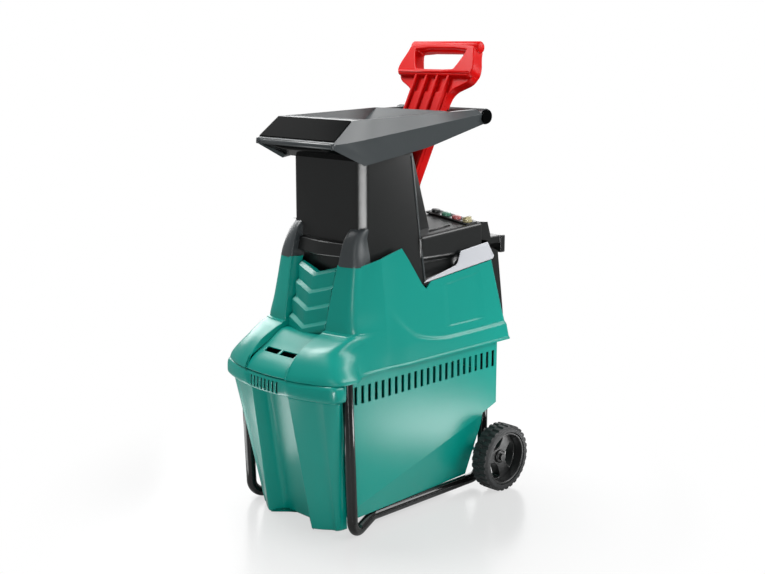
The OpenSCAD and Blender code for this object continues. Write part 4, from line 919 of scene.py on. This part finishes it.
# %% Funnel and deck
top_loop = [(107, 84, 838.4), (107, 330, 844.4), (-107, 330, 844.4), (-107, 84, 838.4)]
throat_loop = [(84, 96, 806), (84, 252, 806), (-84, 252, 806), (-84, 96, 806)]
low_loop = [(84, 98, 766), (84, 214, 766), (-84, 214, 766), (-84, 98, 766)]


def loop_rows(upper, lower, shares):
    return [[between(p, q, t) for p, q in zip(upper, lower)] for t in shares]


funnel_rows = loop_rows(top_loop, throat_loop, (0, 0.15, 0.6, 1))
funnel_wall = rows_to_mesh("hopper_funnel", funnel_rows, closed=True, thick_mm=2.5, inside=True)
finish_piece(edge_radius(funnel_wall, 1.0), "hopper", grey_pp)
collar_rows = loop_rows(throat_loop, low_loop, (0.01, 0.5, 1))
collar = rows_to_mesh("hopper_collar", collar_rows, closed=True, thick_mm=2.0, inside=True)
finish_piece(collar, "chute_front", black_pp)
deck_rows = [[(x, y, ridge_z(y)) for x in (-108, -60, 0, 60, 108)] for y in (329, 336, 345)]
deck = rows_to_mesh("hopper_deck", deck_rows, thick_mm=3.0)
finish_piece(edge_radius(deck, 1.0), "hopper", grey_pp)
print("lining:", funnel_wall.name, collar.name, deck.name)

# %% [markdown]
# ## The pusher
# A flat red plunger with a broad grip: a round bar over a window, arms that widen to rounded
# shoulders, and a ribbed stem. Flat shapes with holes are drawn as loops of points, filled and
# thickened; the ribs are one bar, repeated by a Geometry Nodes tree.

# %% Flat shapes and repeats
def flat_shape(name, outer, holes, depth_mm, place):
    """Fills loops of (u, v) points, thickens them along w and sets them in the frame by place(u, v, w)."""
    work = bmesh.new()
    edges = []
    for loop in [outer] + holes:
        ring = [work.verts.new((u, v, 0)) for u, v in loop]
        edges += [work.edges.new((a, b)) for a, b in zip(ring, ring[1:] + ring[:1])]
    bmesh.ops.triangle_fill(work, use_beauty=True, edges=edges, normal=(0, 0, 1))
    bmesh.ops.dissolve_limit(work, angle_limit=0.01, verts=work.verts, edges=work.edges)
    solid = bmesh.ops.extrude_face_region(work, geom=work.faces[:])
    top = [v for v in solid["geom"] if isinstance(v, bmesh.types.BMVert)]
    for v in work.verts:
        v.co.z = -depth_mm / 2
    for v in top:
        v.co.z = depth_mm / 2
    for v in work.verts:
        v.co = place(*v.co)
    bmesh.ops.recalc_face_normals(work, faces=work.faces)
    return mesh_object(name, work)


def both_sides(points):
    return points + [(-x, y) for x, y in reversed(points)]


def repeat_tree(name, material):
    """Node tree that copies a mesh along a line: inputs are the piece, the count and the step."""
    tree = bpy.data.node_groups.new(name, "GeometryNodeTree")
    for label, kind in [("Piece", "Object"), ("Count", "Int"), ("Step", "Vector")]:
        tree.interface.new_socket(label, in_out="INPUT", socket_type="NodeSocket" + kind)
    tree.interface.new_socket("Geometry", in_out="OUTPUT", socket_type="NodeSocketGeometry")
    given = tree.nodes.new("NodeGroupInput")
    line = add(tree, "GeometryNodeMeshLine", {"mode": "OFFSET"},
               {"Count": given.outputs["Count"], "Offset": given.outputs["Step"]})
    piece = add(tree, "GeometryNodeObjectInfo", {}, {"Object": given.outputs["Piece"]})
    copies = add(tree, "GeometryNodeInstanceOnPoints", {},
                 {"Points": line.outputs[0], "Instance": piece.outputs["Geometry"]})
    real = add(tree, "GeometryNodeRealizeInstances", {}, {"Geometry": copies.outputs[0]})
    finish = add(tree, "GeometryNodeSetMaterial", {"Material": material}, {"Geometry": real.outputs[0]})
    result = tree.nodes.new("NodeGroupOutput")
    tree.links.new(finish.outputs[0], result.inputs[0])
    return tree


def repeat(name, piece, count, step, material):
    """Plain mesh of count copies of piece, each moved by step, in metres, from the last."""
    holder = bpy.data.objects.new(name + "_points", bpy.data.meshes.new(name + "_points"))
    scene.collection.objects.link(holder)
    tree = repeat_tree(name + "_tree", material)
    nodes_modifier = holder.modifiers.new("repeat", "NODES")
    nodes_modifier.node_group = tree
    inputs = {"Piece": piece, "Count": count, "Step": step}
    for item in tree.interface.items_tree:
        if item.in_out == "INPUT":
            nodes_modifier[item.identifier] = inputs[item.name]
    graph = bpy.context.evaluated_depsgraph_get()
    mesh = bpy.data.meshes.new_from_object(holder.evaluated_get(graph))
    obj = bpy.data.objects.new(name, mesh)
    scene.collection.objects.link(obj)
    bpy.data.objects.remove(holder)
    bpy.data.objects.remove(piece)
    for face in obj.data.polygons:
        face.use_smooth = True
    return obj


# %% Plate on the hopper's raked front
RAKE = math.atan2(42, 55)
RAKE_LENGTH = math.hypot(42, 55)


def on_rake(u, v, w):
    """u across, v up the raked front from its lip, w out of it."""
    sine, cosine = math.sin(RAKE), math.cos(RAKE)
    return at(u, -2 + v * cosine - w * sine, 797 + v * sine + w * cosine)


plate_outline = both_sides([(114, 4.5), (110.6, RAKE_LENGTH - 2.5)])
plate = flat_shape("front_plate_face", plate_outline, [], 2.0, lambda u, v, w: on_rake(u, v, w + 1.2))
finish_piece(edge_radius(plate, 0.7), "front_plate", plate_black, instead=True)
for side, label in SIDES:
    rod("hopper_lip_end_" + label, (side * 114.5, -2.4, 785), (side * 114.5, -1.6, 797.4), 4.4,
        grey_pp, "hopper")
rod("hopper_lip_bead", (-115, 0.6, 791), (115, 0.6, 791), 5.6, grey_pp, "hopper", sides=20)

# %% Pusher
LEAN = math.radians(27)


def on_pusher(u, v, w):
    """u across, v up the stem from its foot, w from the front face to the back; all in millimetres."""
    sine, cosine = math.sin(LEAN), math.cos(LEAN)
    return at(u, 285.5 + v * sine + w * cosine, 665 + v * cosine - w * sine)


grip_outline = both_sides([(104, 276), (110, 283), (112, 292), (109, 308), (102, 324), (97, 338), (95, 352)])
grip_window = cut_corners(both_sides([(52, 291), (58, 297), (73, 328), (75, 341)]), 1, closed=True)
grip = flat_shape("pusher_grip", cut_corners(grip_outline, 2), [grip_window], 34, on_pusher)
finish_piece(edge_radius(grip, 3.5, 3), "pusher", red_abs, instead=True)
shoulder_outline = both_sides([(55, 208), (55, 222), (57, 236), (66, 249), (84, 258), (100, 266),
                               (108, 276), (110, 288)])
shoulder = flat_shape("pusher_shoulder", cut_corners(shoulder_outline, 2), [], 22,
                      lambda u, v, w: on_pusher(u, v, w + 5))
finish_piece(edge_radius(shoulder, 3.0, 3), "pusher", red_abs)
stem = flat_shape("pusher_stem", both_sides([(52, 0), (55, 240)]), [], 20, on_pusher)
finish_piece(edge_radius(stem, 2.0), "pusher", red_abs)
print("pusher:", grip.name, shoulder.name, stem.name)


# %% Bars and ribs of the pusher
def cross_bar(name, ends, v, w, radius, sides):
    """Round bar across the pusher; ends are (u, share of the radius) on its right half, from the middle."""
    rows = []
    for u, share in [(-u, share) for u, share in reversed(ends)] + ends:
        ring = [on_pusher(u, v + radius * share * math.cos(a), w + radius * share * math.sin(a))
                for a in ring_angles(sides)]
        rows.append([(p.x * 1000, p.y * 1000 + MID_Y, p.z * 1000) for p in ring])
    bar = rows_to_mesh(name, rows, closed=True)
    return finish_piece(bar, "pusher", red_abs)


cross_bar("pusher_bar", [(97, 1), (99.5, 0.86), (101, 0.6), (101, 0.0)], 351, 0, 13.5, 20)
cross_bar("pusher_ledge", [(104, 1), (104, 0.0)], 284, -17, 3.2, 14)
rib = flat_shape("rib", [(-51.5, 2), (-51.5, 277), (-44.5, 277), (-44.5, 2)], [], 9,
                 lambda u, v, w: on_pusher(u, v, w - 12.5))
ribs = repeat("pusher_ribs", rib, 4, (0.032, 0, 0), red_abs)
finish_piece(edge_radius(ribs, 2.2, 3), "pusher", red_abs)

# %% [markdown]
# ## The wheels
# Each wheel is a moulded disc with three broad spokes between rounded windows, a deep rim and a
# hub. The disc is a flat shape; rim and hub are turned, so they are rings of points.

# %% Wheels
AXLE_Y, AXLE_Z, DISC_X, SPOKE_TURN = 433, 75, 172, 54
# Distance from the axle, and degrees from the window's middle line.
WINDOW = [(51, 41), (51, 20), (51, 0), (51, -20), (51, -41), (37, -36), (24, -24), (20, 0), (24, 24),
          (37, 36)]
# Distance from the machine's middle, and radius.
RIM = [(165, 54), (165, 59.8), (204.5, 59.8), (205.5, 58.5), (205.5, 55.5), (204, 54), (188, 53), (165, 54)]
HUB = [(144, 5.2), (144, 13), (181, 14), (187, 15), (189.4, 13), (190, 11), (190, 5.2), (144, 5.2)]


def on_wheel(side):
    def place(u, v, w):
        return at(side * (DISC_X + w), AXLE_Y + u, AXLE_Z + v)
    return place


def turned(name, profile, side):
    """Ring turned round the axle from a closed profile."""
    rows = [[(side * x, AXLE_Y + r * math.cos(a), AXLE_Z + r * math.sin(a)) for a in ring_angles(64)]
            for x, r in profile]
    return rows_to_mesh(name, rows if side < 0 else [r[::-1] for r in rows], closed=True)


def wheel_windows():
    loops = []
    for k in range(3):
        middle = math.radians(SPOKE_TURN + 60 + 120 * k)
        angles = [(r, middle + math.radians(half)) for r, half in WINDOW]
        loops.append(cut_corners([(r * math.cos(a), r * math.sin(a)) for r, a in angles], 2, closed=True))
    return loops


for side, label in SIDES:
    wheel = "wheel_" + label
    circle = [(54.5 * math.cos(a), 54.5 * math.sin(a)) for a in ring_angles(72)]
    disc = flat_shape("wheel_disc_" + label, circle, wheel_windows(), 24, on_wheel(side))
    finish_piece(edge_radius(disc, 2.0, 3), wheel, wheel_pp, instead=True)
    for name, profile in [("wheel_rim_", RIM), ("wheel_hub_", HUB)]:
        finish_piece(edge_radius(turned(name + label, profile, side), 0.8), wheel, wheel_pp)

# %% [markdown]
# ## The solids that stay as they are
# The stand's tubes, the bar across the hopper and all the inner pieces keep their CAD shape and
# only get a finish.


# %% Finishes on the solids that stay as they are
def paint(material, *names):
    for name in names:
        nodes[name].data.materials.clear()
        nodes[name].data.materials.append(material)


paint(powder_coat, *[n for n in nodes if n.startswith(("front_leg", "lower_rail", "rear_leg"))])
paint(grey_pp, "handle_bar")
paint(plate_black, "bar_caps")
paint(black_pp, "axle_caps", "mains_inlet", "switch_box", "safety_switch", "motor_fan")
paint(zinc_steel, "axle", "drum_bearings", "drum_shaft", "adjusting_screw", "layshaft", "cover_screws",
      "drum_gear", "layshaft_pinion", "layshaft_wheel", "motor_pinion")
paint(tool_steel, "cutting_drum", "counter_plate")
paint(cast_alloy, "cutter_frame", "gearbox_case", "motor_case", "capacitor")
paint(iron, "motor_stator", "motor_rotor")
print("CAD solids with a finish:", sum(1 for n in nodes.values() if n.data.materials))
